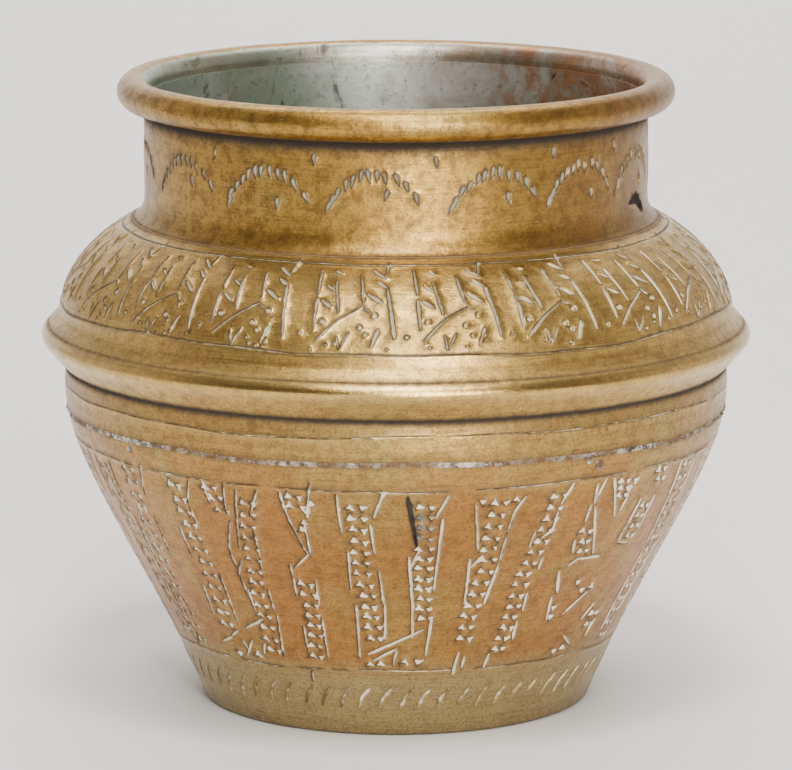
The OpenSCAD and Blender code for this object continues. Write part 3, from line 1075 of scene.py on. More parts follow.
class Finish:
    """A material being built. It holds the work that a skin carries and the patterns finishes share."""

    def __init__(self, name):
        self.material = bpy.data.materials.new(name)
        self.material.use_nodes = True
        self.tree = self.material.node_tree
        self.tree.nodes.clear()
        self.shader = self.node("ShaderNodeBsdfPrincipled")
        self.node("ShaderNodeOutputMaterial", None, {"Surface": self.shader.outputs[0]})
        self.object_at = self.node("ShaderNodeTexCoord").outputs["Object"]
        work = self.node("ShaderNodeAttribute", {"attribute_name": "chasing"})
        parts = self.node("ShaderNodeSeparateColor", None, {"Color": work.outputs["Color"]})
        self.residue_and_glint = Signal(self.tree, parts.outputs["Red"])
        self.grime = Signal(self.tree, parts.outputs["Green"])
        self.black = Signal(self.tree, parts.outputs["Blue"])
        self.wear_and_sheen = Signal(self.tree, work.outputs["Alpha"])

    def node(self, kind, settings=None, sockets=None):
        return place(self.tree, kind, settings, sockets)

    def noise(self, scale, detail=4.0, roughness=0.55, distortion=0.0, stretch=None, offset=0.0):
        """Cloudy noise at Object coordinates, stretched along the axes and moved aside if asked."""
        vector = self.object_at
        if stretch:
            vector = self.node("ShaderNodeVectorMath", {"operation": "MULTIPLY"},
                               {0: vector, 1: stretch}).outputs[0]
        if offset:
            vector = self.node("ShaderNodeVectorMath", {"operation": "ADD"},
                               {0: vector, 1: (offset, offset * 0.7, -offset)}).outputs[0]
        node = self.node("ShaderNodeTexNoise", None, {
            "Vector": vector, "Scale": scale, "Detail": detail, "Roughness": roughness,
            "Distortion": distortion})
        return Signal(self.tree, node.outputs[0])

    def axis(self, name):
        parts = self.node("ShaderNodeSeparateXYZ", None, {0: self.object_at})
        return Signal(self.tree, parts.outputs[name])

    def mix(self, share, first, second):
        """From the first colour to the second by a share that is kept between 0 and 1."""
        first, second = [(*color, 1.0) if isinstance(color, tuple) else color for color in (first, second)]
        node = self.node("ShaderNodeMix", {"data_type": "RGBA", "clamp_factor": True},
                         {0: share, 6: first, 7: second})
        return node.outputs[2]

    def bump(self, height, strength, distance):
        sockets = {"Height": height, "Strength": strength, "Distance": distance}
        return self.node("ShaderNodeBump", None, sockets).outputs[0]

    def surface(self, **values):
        """Feeds the shader's sockets, named as in base_color, and returns the material."""
        for name, value in values.items():
            value = (*value, 1.0) if isinstance(value, tuple) else value
            feed(self.tree, self.shader.inputs[name.replace("_", " ").title()], value)
        return self.material


def new_tree(name, shape, numbers):
    """A Geometry Nodes group with named inputs, and the outputs of its input node."""
    tree = bpy.data.node_groups.new(name, "GeometryNodeTree")
    sockets = tree.interface
    sockets.new_socket(shape, in_out="INPUT", socket_type="NodeSocketGeometry")
    for title, kind, value in numbers:
        socket = sockets.new_socket(title, in_out="INPUT", socket_type=kind)
        socket.default_value = value
    sockets.new_socket("Finish", in_out="INPUT", socket_type="NodeSocketMaterial")
    sockets.new_socket(shape, in_out="OUTPUT", socket_type="NodeSocketGeometry")
    return tree, place(tree, "NodeGroupInput").outputs


def end_tree(tree, shape, finish):
    """Ends a group: instances are made real, the finish is set and the result handed on."""
    whole = place(tree, "GeometryNodeRealizeInstances", None, {0: shape.outputs[0]})
    painted = place(tree, "GeometryNodeSetMaterial", None,
                    {"Geometry": whole.outputs[0], "Material": finish})
    place(tree, "NodeGroupOutput", None, {0: painted.outputs[0]})
    return tree


def attribute(tree, name, kind="FLOAT"):
    return place(tree, "GeometryNodeInputNamedAttribute", {"data_type": kind}, {"Name": name}).outputs[0]


def chased_skin_tree():
    """Pushes a skin in and out by its marks and by the shallow dents of the planishing hammer."""
    tree, inputs = new_tree("Chased skin", "Skin", (
        ("Mark Depth", "NodeSocketFloat", 0.0004), ("Dent Height", "NodeSocketFloat", 0.0001),
        ("Dent Size", "NodeSocketFloat", 0.011), ("Seed", "NodeSocketFloat", 1.0)))
    position = place(tree, "GeometryNodeInputPosition").outputs[0]
    size = Signal(tree, inputs["Dent Size"])
    wave = place(tree, "ShaderNodeTexNoise", {"noise_dimensions": "4D"}, {
        "Vector": position, "W": inputs["Seed"], "Scale": size.math("DIVIDE", 1.0, size),
        "Detail": 1.5, "Roughness": 0.45})
    ripple = (Signal(tree, wave.outputs[0]) - 0.5) * 2 * Signal(tree, inputs["Dent Height"])
    ripple = ripple * Signal(tree, attribute(tree, "dent"))
    push = Signal(tree, attribute(tree, "press")) * Signal(tree, inputs["Mark Depth"]) + ripple
    offset = place(tree, "ShaderNodeVectorMath", {"operation": "SCALE"},
                   {0: attribute(tree, "lift", "FLOAT_VECTOR"), "Scale": push})
    moved = place(tree, "GeometryNodeSetPosition", None,
                  {"Geometry": inputs["Skin"], "Offset": offset.outputs[0]})
    return end_tree(tree, moved, inputs["Finish"])


def solder_tree():
    """Strews a soldered seam's grains along a curve."""
    tree, inputs = new_tree("Solder grains", "Seam", (
        ("Grains", "NodeSocketInt", 900), ("Grain Size", "NodeSocketFloat", 0.0004),
        ("Spread", "NodeSocketFloat", 0.0006), ("Seed", "NodeSocketInt", 3)))

    def random_vector(low, high):
        node = place(tree, "FunctionNodeRandomValue", {"data_type": "FLOAT_VECTOR"},
                     {0: low, 1: high, "Seed": inputs["Seed"]})
        return node.outputs[0]

    spread = Signal(tree, inputs["Spread"])
    low = place(tree, "ShaderNodeCombineXYZ", None, {0: spread * -0.5, 1: spread * -0.5, 2: spread * -1.0})
    high = place(tree, "ShaderNodeCombineXYZ", None, {0: spread * 0.5, 1: spread * 0.5, 2: spread})
    dots = place(tree, "GeometryNodeCurveToPoints", {"mode": "COUNT"},
                 {"Curve": inputs["Seam"], "Count": inputs["Grains"]})
    moved = place(tree, "GeometryNodeSetPosition", None,
                  {"Geometry": dots.outputs[0], "Offset": random_vector(low.outputs[0], high.outputs[0])})
    grain = place(tree, "GeometryNodeMeshUVSphere", None,
                  {"Segments": 7, "Rings": 5, "Radius": inputs["Grain Size"]})
    strewn = place(tree, "GeometryNodeInstanceOnPoints", None, {
        "Points": moved.outputs[0], "Instance": grain.outputs[0],
        "Rotation": random_vector((0.0, 0.0, 0.0), (6.2, 6.2, 6.2)),
        "Scale": random_vector((0.35, 0.35, 0.3), (1.5, 1.5, 1.0))})
    return end_tree(tree, strewn, inputs["Finish"])


MADE = {}


def once(maker):
    """What a maker returns, made the first time that it is asked for."""
    if maker not in MADE:
        MADE[maker] = maker()
    return MADE[maker]


def grow(source, tree, inputs):
    """Runs a node tree on an object and returns its result as a plain mesh."""
    modifier = source.modifiers.new(tree.name, "NODES")
    modifier.node_group = tree
    for item in tree.interface.items_tree:
        if item.item_type == "SOCKET" and item.in_out == "INPUT" and item.name in inputs:
            modifier[item.identifier] = inputs[item.name]
    bpy.context.view_layer.update()
    graph = bpy.context.evaluated_depsgraph_get()
    evaluated = source.evaluated_get(graph)
    mesh = bpy.data.meshes.new_from_object(evaluated, preserve_all_data_layers=True, depsgraph=graph)
    source.modifiers.clear()
    return mesh


# Edges sharper than this, in degrees, are shaded as edges
SHARP_FROM = 38


def stand_for(name, mesh, material, node):
    """Links a finished mesh as a piece that rides on the pot and replaces a CAD node."""
    mesh.name = name
    mesh.materials.clear()
    mesh.materials.append(material)
    mesh.polygons.foreach_set("use_smooth", [True] * len(mesh.polygons))
    mesh.set_sharp_from_angle(angle=math.radians(SHARP_FROM))
    piece = bpy.data.objects.new(name, mesh)
    bpy.context.scene.collection.objects.link(piece)
    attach(piece, "root")
    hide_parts(node)


def skin_piece(name, shell, settings, material, node):
    """Turns a shell into its finished, chased piece."""
    source = bpy.data.objects.new(name + "_source", shell.mesh(name + "_source"))
    bpy.context.scene.collection.objects.link(source)
    mesh = grow(source, once(chased_skin_tree), {
        "Mark Depth": settings.mark_depth, "Dent Height": settings.dent_height,
        "Dent Size": settings.dent_size, "Seed": float(settings.seed), "Finish": material})
    bpy.data.objects.remove(source)
    for title in ("lift", "press", "dent"):
        found = mesh.attributes.get(title)
        if found:
            mesh.attributes.remove(found)
    stand_for(name, mesh, material, node)


# Finishes

GREENISH_BRASS = (0.42, 0.34, 0.09)
PALE_FOOT = (0.4, 0.355, 0.2)
PORE_BROWN = (0.1, 0.05, 0.02)
RIGHT_SIDE_SHADE_BROWN = (0.17, 0.08, 0.024)
WEAR_AND_SHEEN_GOLD = (0.8, 0.55, 0.2)
DIRT_AND_SHADE_BROWN = (0.035, 0.02, 0.011)
BLACK_STAIN_AND_SHADE = (0.008, 0.006, 0.005)


def tin_color(finish, wipes, grains):
    """Grey-white tin: verdigris on one side, copper showing through on the other, black stains."""
    stain = finish.noise(60, 6, 0.7, 0.8, offset=4.0)
    green = finish.noise(40, 5, 0.6, 0.5, offset=9.0)
    blots = finish.noise(90, 6, 0.7, 1.0, offset=2.0)
    left = (finish.axis("X") * -34.0 + 0.15).clamped()
    right = (finish.axis("X") * 34.0 - 0.1).clamped()
    color = finish.mix(wipes.between(0.38, 0.62), (0.54, 0.54, 0.5), (0.3, 0.27, 0.21))
    color = finish.mix((green.between(0.4, 0.56) * left).clamped() * 0.7, color, (0.22, 0.32, 0.24))
    color = finish.mix((stain.between(0.42, 0.58) * right).clamped() * 0.85, color, (0.36, 0.15, 0.055))
    color = finish.mix(blots.between(0.57, 0.66) * 0.8, color, (0.03, 0.028, 0.02))
    return finish.mix(grains.between(0.56, 0.66) * 0.4, color, (0.07, 0.07, 0.055))


def brass(name, golden, copper, shade, paste_color, paste_metal, warmth, mottle, seed,
          wiped=False, right_side_shade=0.0):
    """Old polished brass: copper-toned and greenish clouds, brown mottling, fine brushing, dirt and painted
    shade, a painted shade toward +X and a painted sheen on worn edges.
    """
    finish = Finish(name)
    clouds = finish.noise(1.0, 5, 0.62, 0.6, stretch=(36, 36, 15), offset=seed)
    tint = finish.noise(48, 6, 0.65, 0.4, offset=seed + 3.1)
    spots = finish.noise(380, 8, 0.75, 0.1, offset=seed + 1.7)
    pores = finish.noise(1900, 3, 0.7, offset=seed)
    crumbs = finish.noise(700, 3, 0.6, offset=seed)
    brushed = finish.noise(1.0, 3, 0.65, stretch=(90, 90, 2600))
    slant = finish.noise(1.0, 2, 0.6, stretch=(900, 300, 260))
    height = finish.axis("Z")
    foot_tone = 1.0 - height.between(0.012, 0.021)
    above_seam = (height + (tint - 0.5) * 0.02).between(0.05, 0.072)
    patches = clouds.between(0.6 - warmth * 0.28, 0.76 - warmth * 0.2) * (1.0 - foot_tone)
    color = finish.mix((patches * 0.85 - above_seam * warmth * 0.6).clamped(), golden, copper)
    color = finish.mix(tint.between(0.5, 0.68) * 0.45, color, GREENISH_BRASS)
    color = finish.mix(spots.between(0.4, 0.64) * 0.68 * mottle, color, shade)
    color = finish.mix(foot_tone * 0.5, color, PALE_FOOT)
    color = finish.mix(brushed.between(0.46, 0.68) * 0.36, color, shade)
    color = finish.mix(pores.between(0.48, 0.64) * 0.5, color, PORE_BROWN)
    # Painted shade: the side toward +X is painted browner, as that side lies in shade
    color = finish.mix((finish.axis("X") * right_side_shade - 0.2).clamped() * 0.55, color, RIGHT_SIDE_SHADE_BROWN)
    # Worn gold on rubbed edges, also a painted sheen on the ridge's nose and the lip's roll
    color = finish.mix(finish.wear_and_sheen * 0.3, color, WEAR_AND_SHEEN_GOLD)
    # The inside of the neck is tinned up to a ragged edge on the lip
    if wiped:
        radius = (finish.axis("X") ** 2.0 + finish.axis("Y") ** 2.0) ** 0.5
        wall = (SECTION.neck_r - 1.0) * MM
        lip = height.between(0.134, 0.1365)
        tinned = 1.0 - ((radius - wall - lip * (0.0004 + tint * 0.0022)) / 0.0004).clamped()
        color = finish.mix(tinned * 0.85, color, tin_color(finish, tint, pores))
    # Dirt and painted shade from the marks' left sides and from the creases
    dirt_and_shade = (finish.grime * (0.7 + spots)).clamped()
    # The pale paste in the marks, standing in both for real polish residue and for the painted glint of the
    # marks' facets
    paste_and_glint = (finish.residue_and_glint + (crumbs - 0.5) * 1.1 + (tint - 0.5) * 1.2).between(0.35, 0.7)
    color = finish.mix(dirt_and_shade * 0.9, color, DIRT_AND_SHADE_BROWN)
    color = finish.mix(paste_and_glint * 0.88, color, paste_color)
    # Black: stains in some marks, and painted shadow under the lip, under the hem, along the seam and in the
    # tear
    color = finish.mix(finish.black, color, BLACK_STAIN_AND_SHADE)
    rough = 0.24 + spots * 0.2 + pores * 0.08 + dirt_and_shade * 0.3 + paste_and_glint * 0.3
    rough = rough - finish.wear_and_sheen * 0.25 + finish.black * 0.4
    metal = 1.0 - paste_and_glint * (1.0 - paste_metal) - dirt_and_shade * 0.5 - finish.black
    coat = 0.16 - dirt_and_shade * 0.15 - finish.black * 0.2
    relief = brushed * 0.5 + slant * 0.3 + pores * 0.6 + spots * 0.7
    return finish.surface(
        base_color=color, metallic=metal.clamped(), roughness=rough.clamped(), coat_weight=coat.clamped(),
        coat_roughness=0.25, normal=finish.bump(relief, 0.26, 0.0004))


def tin_finish():
    """Wiped tin, darker toward the bottom."""
    finish = Finish("wiped_tin")
    wipes = finish.noise(34, 6, 0.65, 1.2)
    grains = finish.noise(700, 4, 0.6)
    deep = 1.0 - finish.axis("Z").between(0.02, 0.12)
    color = finish.mix(deep * 0.6, tin_color(finish, wipes, grains), (0.12, 0.08, 0.05))
    rough = 0.28 + wipes * 0.25 + grains * 0.15
    normal = finish.bump(wipes * 0.5 + grains * 0.4, 0.3, 0.0005)
    return finish.surface(base_color=color, metallic=0.85, roughness=rough, normal=normal)


def solder_finish():
    """Dull granular soft solder with a white bloom and dirt in its hollows."""
    finish = Finish("soft_solder_crust")
    bloom = finish.noise(420, 5, 0.65, 0.4)
    grains = finish.noise(1400, 4, 0.6)
    patches = finish.noise(45, 5, 0.65, offset=5.0)
    color = finish.mix(bloom.between(0.42, 0.6), (0.08, 0.055, 0.035), (0.64, 0.6, 0.52))
    color = finish.mix(patches.between(0.42, 0.56) * 0.85, color, (0.16, 0.09, 0.035))
    color = finish.mix(grains.between(0.6, 0.7) * 0.5, color, (0.86, 0.84, 0.78))
    rough = 0.45 + bloom * 0.3
    return finish.surface(base_color=color, metallic=0.55, roughness=rough,
                          normal=finish.bump(grains + bloom, 0.6, 0.0004))


def spelter_finish():
    """Reddish, scaled brazing metal."""
    finish = Finish("brazing_spelter")
    flow = finish.noise(120, 5, 0.6, 0.8)
    scale = finish.noise(900, 5, 0.7)
    color = finish.mix(flow.between(0.35, 0.65), (0.42, 0.2, 0.1), (0.55, 0.36, 0.16))
    color = finish.mix(scale.between(0.5, 0.68) * 0.6, color, (0.07, 0.035, 0.02))
    return finish.surface(base_color=color, metallic=0.9 - scale * 0.3, roughness=0.38 + scale * 0.3,
                          normal=finish.bump(flow + scale * 0.5, 0.35, 0.0003))


def iron_finish():
    """Dark drawn iron wire with brown rust bloom."""
    finish = Finish("drawn_iron_wire")
    rust = finish.noise(260, 6, 0.7, 0.5)
    drawn = finish.noise(1.0, 3, 0.6, stretch=(120, 120, 3000))
    color = finish.mix(rust.between(0.42, 0.62), (0.12, 0.11, 0.1), (0.2, 0.085, 0.035))
    return finish.surface(base_color=color, metallic=0.8 - rust * 0.5, roughness=0.42 + rust * 0.35,
                          normal=finish.bump(rust + drawn * 0.6, 0.4, 0.0003))


def neck_brass():
    return brass("neck_brass_aged", (0.46, 0.27, 0.052), (0.35, 0.16, 0.04), (0.11, 0.052, 0.015),
                 (0.3, 0.29, 0.22), 0.6, 0.35, 1.0, 0.0, wiped=True, right_side_shade=22.0)


def shoulder_brass():
    return brass("shoulder_brass_aged", (0.62, 0.4, 0.105), (0.54, 0.28, 0.08), (0.17, 0.085, 0.026),
                 (0.56, 0.52, 0.4), 0.7, 0.4, 0.8, 6.0)


def belly_brass():
    return brass("belly_brass_aged", (0.44, 0.28, 0.076), (0.43, 0.188, 0.046), (0.16, 0.078, 0.026),
                 (0.8, 0.74, 0.58), 0.1, 1.15, 0.75, 12.0)


# Settings

class PotSettings(bpy.types.PropertyGroup):
    """How the brass was worked."""

    mark_depth: bpy.props.FloatProperty(
        name="Mark Depth", description="Depth of a full chisel stroke", default=0.00042,
        min=0.0, max=0.001, precision=5, unit="LENGTH")
    dent_height: bpy.props.FloatProperty(
        name="Dent Height", description="Height of the hammer's shallow dents", default=0.00012,
        min=0.0, max=0.001, precision=5, unit="LENGTH")
    dent_size: bpy.props.FloatProperty(
        name="Dent Size", description="Distance from one dent to the next", default=0.011,
        min=0.003, max=0.05, precision=4, unit="LENGTH")
    seed: bpy.props.IntProperty(
        name="Seed", description="Changes the unevenness of the hand work", default=7, min=0)
    grain_size: bpy.props.FloatProperty(
        name="Grain Size", description="Radius of a solder grain", default=0.0002,
        min=0.0001, max=0.001, precision=5, unit="LENGTH")
    grains: bpy.props.IntProperty(
        name="Grains", description="Number of solder grains round the seam", default=1300, min=0, max=4000)


class StudioSettings(bpy.types.PropertyGroup):
    """The stage, the lights and the camera."""

    lens: bpy.props.FloatProperty(
        name="Lens", description="Focal length", default=254.5, min=20.0, max=400.0, unit="CAMERA")
    camera_place: bpy.props.FloatVectorProperty(
        name="Camera", description="Where the camera stands", default=(0.0, -1.2467, 0.3079),
        size=3, subtype="TRANSLATION")
    camera_tilt: bpy.props.FloatProperty(
        name="Tilt", description="Camera's rotation about X", default=math.radians(79.23), subtype="ANGLE")
    key_power: bpy.props.FloatProperty(
        name="Key Light", description="Power of the soft light above the camera", default=21.0,
        min=0.0, unit="POWER")
    top_power: bpy.props.FloatProperty(
        name="Top Light", description="Power of the soft light overhead", default=15.0,
        min=0.0, unit="POWER")
    back_power: bpy.props.FloatProperty(
        name="Back Light", description="Power of the light on the sweep behind", default=30.0,
        min=0.0, unit="POWER")
    floor_color: bpy.props.FloatVectorProperty(
        name="Floor", description="Colour of the sweep", default=(0.84, 0.83, 0.81), size=3,
        min=0.0, max=1.0, subtype="COLOR")


# Operators

class OBJECT_OT_lota_neck(bpy.types.Operator):
    """Make the neck collar with its chased arches and its rolled lip"""

    bl_idname = "object.lota_neck"
    bl_label = "Chased Neck Collar"

    def execute(self, context):
        settings = context.scene.lota_pot
        face = SECTION.neck_wall
        foot_point = tuple(face.path[0])
        roll = SECTION.neck_roll
        inside = SECTION.neck_inside[::-1]
        curl, flare = inside[:len(roll)], inside[len(roll):]
        # The chased stretch ends below the lip, where close rows carry the painted shade of the corner under
        # it
        start, stop_z = 0.9, 132.1
        crevice = [(SECTION.neck_r, z) for z in (stop_z, 132.6, 133.0, 133.4, 134.1, 134.6, 135.1, 136.2)]
        tube = [(SECTION.neck_in, z) for z in (curl[-1][1], 132.0, 126.0, 120.0)]
        shell = Shell()
        shell.lattice([foot_point, face.point(start)])
        shell.chased(chase_neck(settings.seed), start, face.run_at(stop_z))
        # The lip's roll is painted brighter: wear and painted sheen
        shell.lattice(crevice + roll, wear_and_sheen=[0.0] * len(crevice) + [0.5] * len(roll))
        shell.lattice([roll[-1]] + curl[:1])
        shell.lattice(curl, dent=0.8)
        shell.lattice(tube + flare)
        shell.lattice([flare[-1], foot_point])
        skin_piece("neck_collar_chased", shell, settings, once(neck_brass), "neck_collar")
        return {"FINISHED"}


class OBJECT_OT_lota_shoulder(bpy.types.Operator):
    """Make the shoulder with its ridge and its chased frieze"""

    bl_idname = "object.lota_shoulder"
    bl_label = "Chased Shoulder"

    def execute(self, context):
        settings = context.scene.lota_pot
        face = SECTION.shoulder_dome
        hem, nose, hollow = SECTION.hem, SECTION.nose, SECTION.hollow
        # Extra rows beside the nose, where its wear and painted sheen end and the darkening beside it begins
        under = between_points(hem, nose[0], (0.1, 0.2, 0.35, 0.6, 0.8))
        flank = between_points(nose[-1], hollow[0], (0.12, 0.24, 0.33, 0.45, 0.7))
        ridge = [hem] + under + nose + flank + hollow
        # Wear and painted sheen on the nose, strongest on its crest
        wear_and_sheen = [0.0] * len(under) + [0.3] + [0.6] * len(nose) + [0.3]
        wear_and_sheen += [0.0] * (len(ridge) - len(wear_and_sheen))
        stop = face.run_at(109.4)
        crown = SECTION.crown
        shell = Shell()
        shell.lattice(ridge, dent=[0.3] + [1.0] * (len(ridge) - 1), wear_and_sheen=wear_and_sheen)
        shell.chased(chase_shoulder(settings.seed + 1), 0.0, stop)
        shell.lattice([face.point(stop)] + crown, dent=[1.0] + [0.0] * len(crown))
        shell.lattice([crown[-1]] + SECTION.shoulder_inside[::-1] + [hem])
        skin_piece("shoulder_dome_chased", shell, settings, once(shoulder_brass),
                   "shoulder_dome")
        return {"FINISHED"}


class OBJECT_OT_lota_belt(bpy.types.Operator):
    """Make the plain belt with its one scribed line"""

    bl_idname = "object.lota_belt"
    bl_label = "Planished Belt"

    def execute(self, context):
        settings = context.scene.lota_pot
        face = SECTION.belt
        bottom, end = tuple(face.path[0]), tuple(face.path[-1])
        # The chased stretch ends below the hem, where close rows carry the painted shadow of the hem's corner
        start, stop_z = 0.3, 75.4
        rise = [(SECTION.belt_r, z) for z in (stop_z, 76.0, 76.4, 76.8, 77.2, 78.0, 79.5)]
        inner = [(SECTION.belt_in, z) for z in (SECTION.belt_top, 80.0, SECTION.seam_high)]
        shell = Shell()
        shell.lattice([bottom, face.point(start)], dent=1.0)
        shell.chased(chase_belt(settings.seed + 2), start, face.run_at(stop_z))
        shell.lattice(rise + [end], dent=[1.0] * 5 + [0.0] * 3)
        shell.lattice([end] + inner + [bottom], dent=[0.0] * 4 + [1.0])
        skin_piece("belly_belt_planished", shell, settings, once(belly_brass), "belly_belt")
        return {"FINISHED"}


class OBJECT_OT_lota_bowl(bpy.types.Operator):
    """Make the lower bowl with its strips of wedges and strokes"""

    bl_idname = "object.lota_bowl"
    bl_label = "Chased Bowl"

    def execute(self, context):
        settings = context.scene.lota_pot
        face = SECTION.bowl_wall
        start, stop = face.run_at(4.6), face.run_at(65.9)
        rim, tongue = SECTION.foot_edge, SECTION.tongue
        shell = Shell()
        shell.lattice(rim + [face.point(start)], dent=[0.0] * 3 + [1.0] * (len(rim) - 2))
        shell.chased(chase_bowl(settings.seed + 3), start, stop)
        shell.lattice([face.point(stop)] + tongue, dent=[1.0, 1.0, 0.0, 0.0])
        shell.lattice([tongue[-1]] + SECTION.bowl_inside[::-1] + [rim[0]])
        skin_piece("lower_bowl_chased", shell, settings, once(belly_brass), "lower_bowl")
        return {"FINISHED"}


class OBJECT_OT_lota_solder(bpy.types.Operator):
    """Make the rough soldered seam between the bowl and the belt"""

    bl_idname = "object.lota_solder"
    bl_label = "Solder Crust"

    def execute(self, context):
        settings = context.scene.lota_pot
        material = once(solder_finish)
        base = bpy.data.objects.new("seam_base", self.fillet().mesh("seam_base"))
        line = bpy.data.objects.new("seam_line", self.seam_line())
        for item in (base, line):
            bpy.context.scene.collection.objects.link(item)
        skin = grow(base, once(chased_skin_tree), {
            "Dent Height": 0.0003, "Dent Size": 0.002, "Finish": material})
        grains = grow(line, solder_tree(), {
            "Grains": settings.grains, "Grain Size": settings.grain_size, "Spread": 0.0004,
            "Seed": settings.seed, "Finish": material})
        joiner = bmesh.new()
        joiner.from_mesh(skin)
        joiner.from_mesh(grains)
        for run in SOLDER_RUNS:
            self.run_of_solder(joiner, *run)
        mesh = bpy.data.meshes.new("seam_solder_crust")
        joiner.to_mesh(mesh)
        joiner.free()
        for item in (base, line):
            bpy.data.objects.remove(item)
        stand_for("seam_solder_crust", mesh, material, "seam_solder")
        return {"FINISHED"}

    def fillet(self):
        """The body of the seam."""
        section = SECTION
        low = (section.tongue_r, section.seam_low)
        high = (section.belt_r - section.belt_draw, section.seam_high)
        middle = (section.bowl_r + section.braze, section.seam_z)
        shell = Shell()
        shell.lattice([low, (section.bowl_r, section.seam_low), middle, high], dent=[0.0, 0.0, 0.4, 0.0])
        shell.lattice([high, (section.belt_in, section.seam_high), (section.belt_in, section.bowl_top),
                       (section.tongue_r, section.bowl_top), low])
        return shell

    def seam_line(self):
        """A closed curve just outside the seam, on which the grains are strewn."""
        curve = bpy.data.curves.new("seam_line", "CURVE")
        curve.dimensions = "3D"
        spline = curve.splines.new("POLY")
        steps = 360
        spline.points.add(steps - 1)
        radius = (SECTION.bowl_r + 0.1) * MM
        for i in range(steps):
            turn = i * math.tau / steps
            height = (SECTION.seam_z + float(seam_wave(turn))) * MM
            spline.points[i].co = (radius * math.sin(turn), -radius * math.cos(turn), height, 1.0)
        spline.use_cyclic_u = True
        return curve

    def run_of_solder(self, joiner, degrees, height, half_width, half_height):
        """A flat bead on the bowl's wall."""
        turn = math.radians(degrees)
        wall = SECTION.bowl_wall
        radius = wall.point(wall.run_at(height))[0] * MM
        spot = Matrix.Translation((radius * math.sin(turn), -radius * math.cos(turn), height * MM))
        shape = Matrix.Diagonal((half_width * MM, 0.25 * MM, half_height * MM, 1.0))
        bmesh.ops.create_uvsphere(joiner, u_segments=20, v_segments=12, radius=1.0,
                                  matrix=spot @ Matrix.Rotation(turn, 4, "Z") @ shape)


class OBJECT_OT_lota_tin(bpy.types.Operator):
    """Make the wiped tin coat on the inside"""

    bl_idname = "object.lota_tin"
    bl_label = "Wiped Tin Lining"

    def execute(self, context):
        outer = SECTION.lining
        inner = inset(outer, SECTION.tin)
        inner[0] = (0.0, inner[0][1])
        shell = Shell()
        shell.lattice(outer)
        shell.lattice([outer[-1]] + inner[::-1], dent=[0.0] + [0.5] * len(inner))
        skin_piece("tin_lining_wiped", shell, context.scene.lota_pot, once(tin_finish), "tin_lining")
        return {"FINISHED"}


class OBJECT_OT_lota_hidden_metal(bpy.types.Operator):
    """Give the wire, the brazes and the base disc their finishes"""

    bl_idname = "object.lota_hidden_metal"
    bl_label = "Wire, Brazes and Base"

    def execute(self, context):
        finishes = {"rim_wire": iron_finish, "base_disc": belly_brass}
        for name in ("neck_braze", "ridge_braze", "base_braze"):
            finishes[name] = spelter_finish
        for name, maker in finishes.items():
            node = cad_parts[name]
            if not node.material_slots:
                raise RuntimeError(name + " has no material slot")
            for slot in node.material_slots:
                slot.material = once(maker)
        return {"FINISHED"}


# Each light: name, place, target, width and height, colour, and the setting and share of its power
LIGHTS = (
    ("key_softbox", (0.30, -1.40, 0.36), (0.0, 0.0, 0.085), (0.28, 0.62),
     (1.0, 0.97, 0.92), "key_power", 1.0),
    ("top_softbox", (0.06, -0.835, 1.1), (0.0, 0.0, 0.09), (0.45, 1.2),
     (1.0, 0.98, 0.96), "top_power", 1.0),
    ("ridge_softbox", (0.02, -0.45, 1.25), (0.0, 0.0, 0.1), (0.34, 0.26),
     (1.0, 0.97, 0.97), "top_power", 0.5),
    ("back_softbox", (0.0, 0.7, 1.5), (0.0, 1.3, 0.0), (1.6, 0.4),
     (1.0, 0.98, 0.97), "back_power", 1.0),
)

# The sweep behind the pot, in metres: half its width, where its bend starts and the bend's radius
SWEEP_HALF = 2.4
BEND_AT = 0.9
BEND_R = 0.6

# The surroundings: colours toward the viewer, behind the pot and overhead
WORLD_FRONT = (0.07, 0.06, 0.05, 1.0)
WORLD_BACK = (1.5, 1.38, 1.36, 1.0)
WORLD_ABOVE = (0.22, 0.215, 0.21, 1.0)


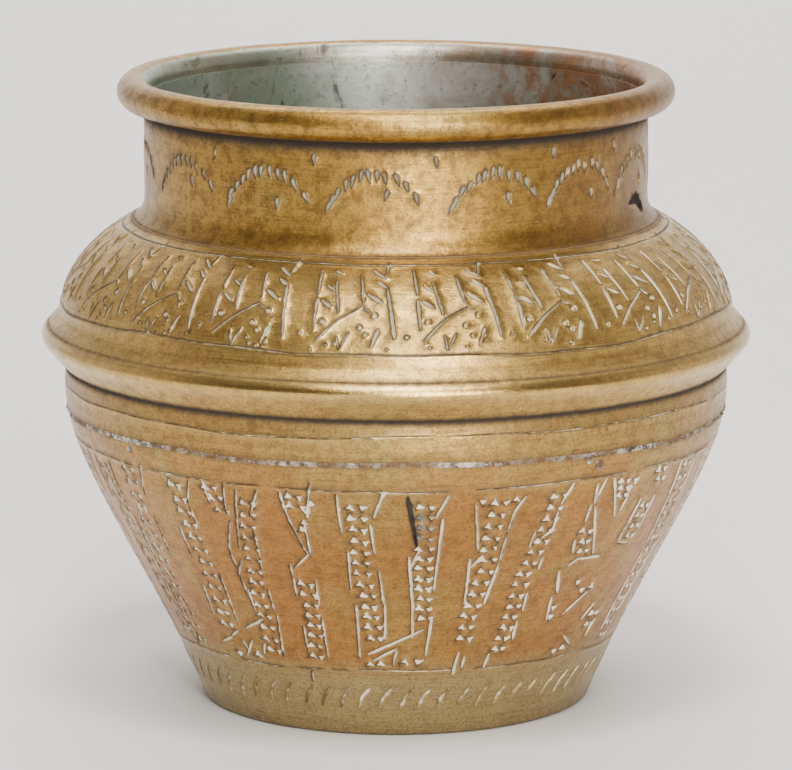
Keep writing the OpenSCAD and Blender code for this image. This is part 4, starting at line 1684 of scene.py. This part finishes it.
class OBJECT_OT_lota_studio(bpy.types.Operator):
    """Set up the pale sweep, the soft lights and the camera"""

    bl_idname = "object.lota_studio"
    bl_label = "Studio"

    def execute(self, context):
        scene = context.scene
        studio = scene.lota_studio
        self.sweep(scene, tuple(studio.floor_color))
        for name, spot, target, size, color, setting, share in LIGHTS:
            self.light(scene, name, spot, target, size, color, getattr(studio, setting) * share)
        self.world(scene)
        lens = bpy.data.cameras.new("camera")
        lens.lens = studio.lens
        lens.sensor_width = 36.0
        lens.clip_end = 20.0
        camera = bpy.data.objects.new("camera", lens)
        camera.location = studio.camera_place
        camera.rotation_euler = (studio.camera_tilt, 0.0, 0.0)
        scene.collection.objects.link(camera)
        scene.camera = camera
        return {"FINISHED"}

    def sweep(self, scene, floor_color):
        """A floor that bends up into a wall."""
        profile = [(y, 0.0) for y in (-SWEEP_HALF, -1.0, 0.0, BEND_AT)]
        profile += [(BEND_AT + BEND_R * math.sin(turn), BEND_R - BEND_R * math.cos(turn))
                    for turn in np.linspace(0.1, 1.57, 12)]
        profile += [(BEND_AT + BEND_R, z) for z in (1.4, 2.4)]
        points = [(x, y, z) for y, z in profile for x in (-SWEEP_HALF, SWEEP_HALF)]
        faces = [(2 * i, 2 * i + 1, 2 * i + 3, 2 * i + 2) for i in range(len(profile) - 1)]
        mesh = bpy.data.meshes.new("studio_sweep")
        mesh.from_pydata(points, [], faces)
        mesh.polygons.foreach_set("use_smooth", [True] * len(mesh.polygons))
        finish = Finish("pale_sweep")
        color = finish.mix(finish.noise(300, 3) * 0.06, floor_color, (0.6, 0.58, 0.55))
        mesh.materials.append(finish.surface(base_color=color, roughness=0.75))
        sweep = bpy.data.objects.new("studio_sweep", mesh)
        scene.collection.objects.link(sweep)

    def light(self, scene, name, spot, target, size, color, power):
        lamp = bpy.data.lights.new(name, "AREA")
        lamp.shape = "RECTANGLE"
        lamp.size, lamp.size_y = size
        lamp.energy = power
        lamp.color = color
        item = bpy.data.objects.new(name, lamp)
        item.location = spot
        item.rotation_euler = (Vector(target) - Vector(spot)).to_track_quat("-Z", "Y").to_euler()
        scene.collection.objects.link(item)

    def world(self, scene):
        """Dark toward the viewer, bright behind the pot and grey overhead."""
        world = bpy.data.worlds.new("soft_studio")
        world.use_nodes = True
        tree = world.node_tree
        tree.nodes.clear()
        ray = place(tree, "ShaderNodeTexCoord").outputs["Generated"]
        parts = place(tree, "ShaderNodeSeparateXYZ", None, {0: ray})
        side = Signal(tree, parts.outputs["Y"]).between(-0.9, 0.9)
        height = Signal(tree, parts.outputs["Z"]).between(0.35, 0.95)
        level = place(tree, "ShaderNodeMix", {"data_type": "RGBA"}, {0: side, 6: WORLD_FRONT, 7: WORLD_BACK})
        color = place(tree, "ShaderNodeMix", {"data_type": "RGBA"},
                      {0: height, 6: level.outputs[2], 7: WORLD_ABOVE})
        sky = place(tree, "ShaderNodeBackground", None, {"Color": color.outputs[2], "Strength": 0.9})
        place(tree, "ShaderNodeOutputWorld", None, {"Surface": sky.outputs[0]})
        scene.world = world


OPERATORS = (
    OBJECT_OT_lota_studio, OBJECT_OT_lota_neck, OBJECT_OT_lota_shoulder, OBJECT_OT_lota_belt,
    OBJECT_OT_lota_bowl, OBJECT_OT_lota_solder, OBJECT_OT_lota_tin, OBJECT_OT_lota_hidden_metal,
)


class VIEW3D_PT_lota(bpy.types.Panel):
    """Lists the steps that dress the pot"""

    bl_idname = "VIEW3D_PT_lota"
    bl_label = "Water Pot"
    bl_space_type = "VIEW_3D"
    bl_region_type = "UI"
    bl_category = "Water Pot"

    def draw(self, context):
        for settings in (context.scene.lota_pot, context.scene.lota_studio):
            for name in settings.__annotations__:
                self.layout.prop(settings, name)
        for operator in OPERATORS:
            self.layout.operator(operator.bl_idname)


CLASSES = (PotSettings, StudioSettings) + OPERATORS + (VIEW3D_PT_lota,)


def register():
    for item in CLASSES:
        bpy.utils.register_class(item)
    bpy.types.Scene.lota_pot = bpy.props.PointerProperty(type=PotSettings)
    bpy.types.Scene.lota_studio = bpy.props.PointerProperty(type=StudioSettings)


def unregister():
    del bpy.types.Scene.lota_studio
    del bpy.types.Scene.lota_pot
    for item in reversed(CLASSES):
        bpy.utils.unregister_class(item)


def main():
    register()
    bpy.ops.object.lota_studio()
    bpy.ops.object.lota_neck()
    bpy.ops.object.lota_shoulder()
    bpy.ops.object.lota_belt()
    bpy.ops.object.lota_bowl()
    bpy.ops.object.lota_solder()
    bpy.ops.object.lota_tin()
    bpy.ops.object.lota_hidden_metal()


if __name__ == "__main__":
    main()
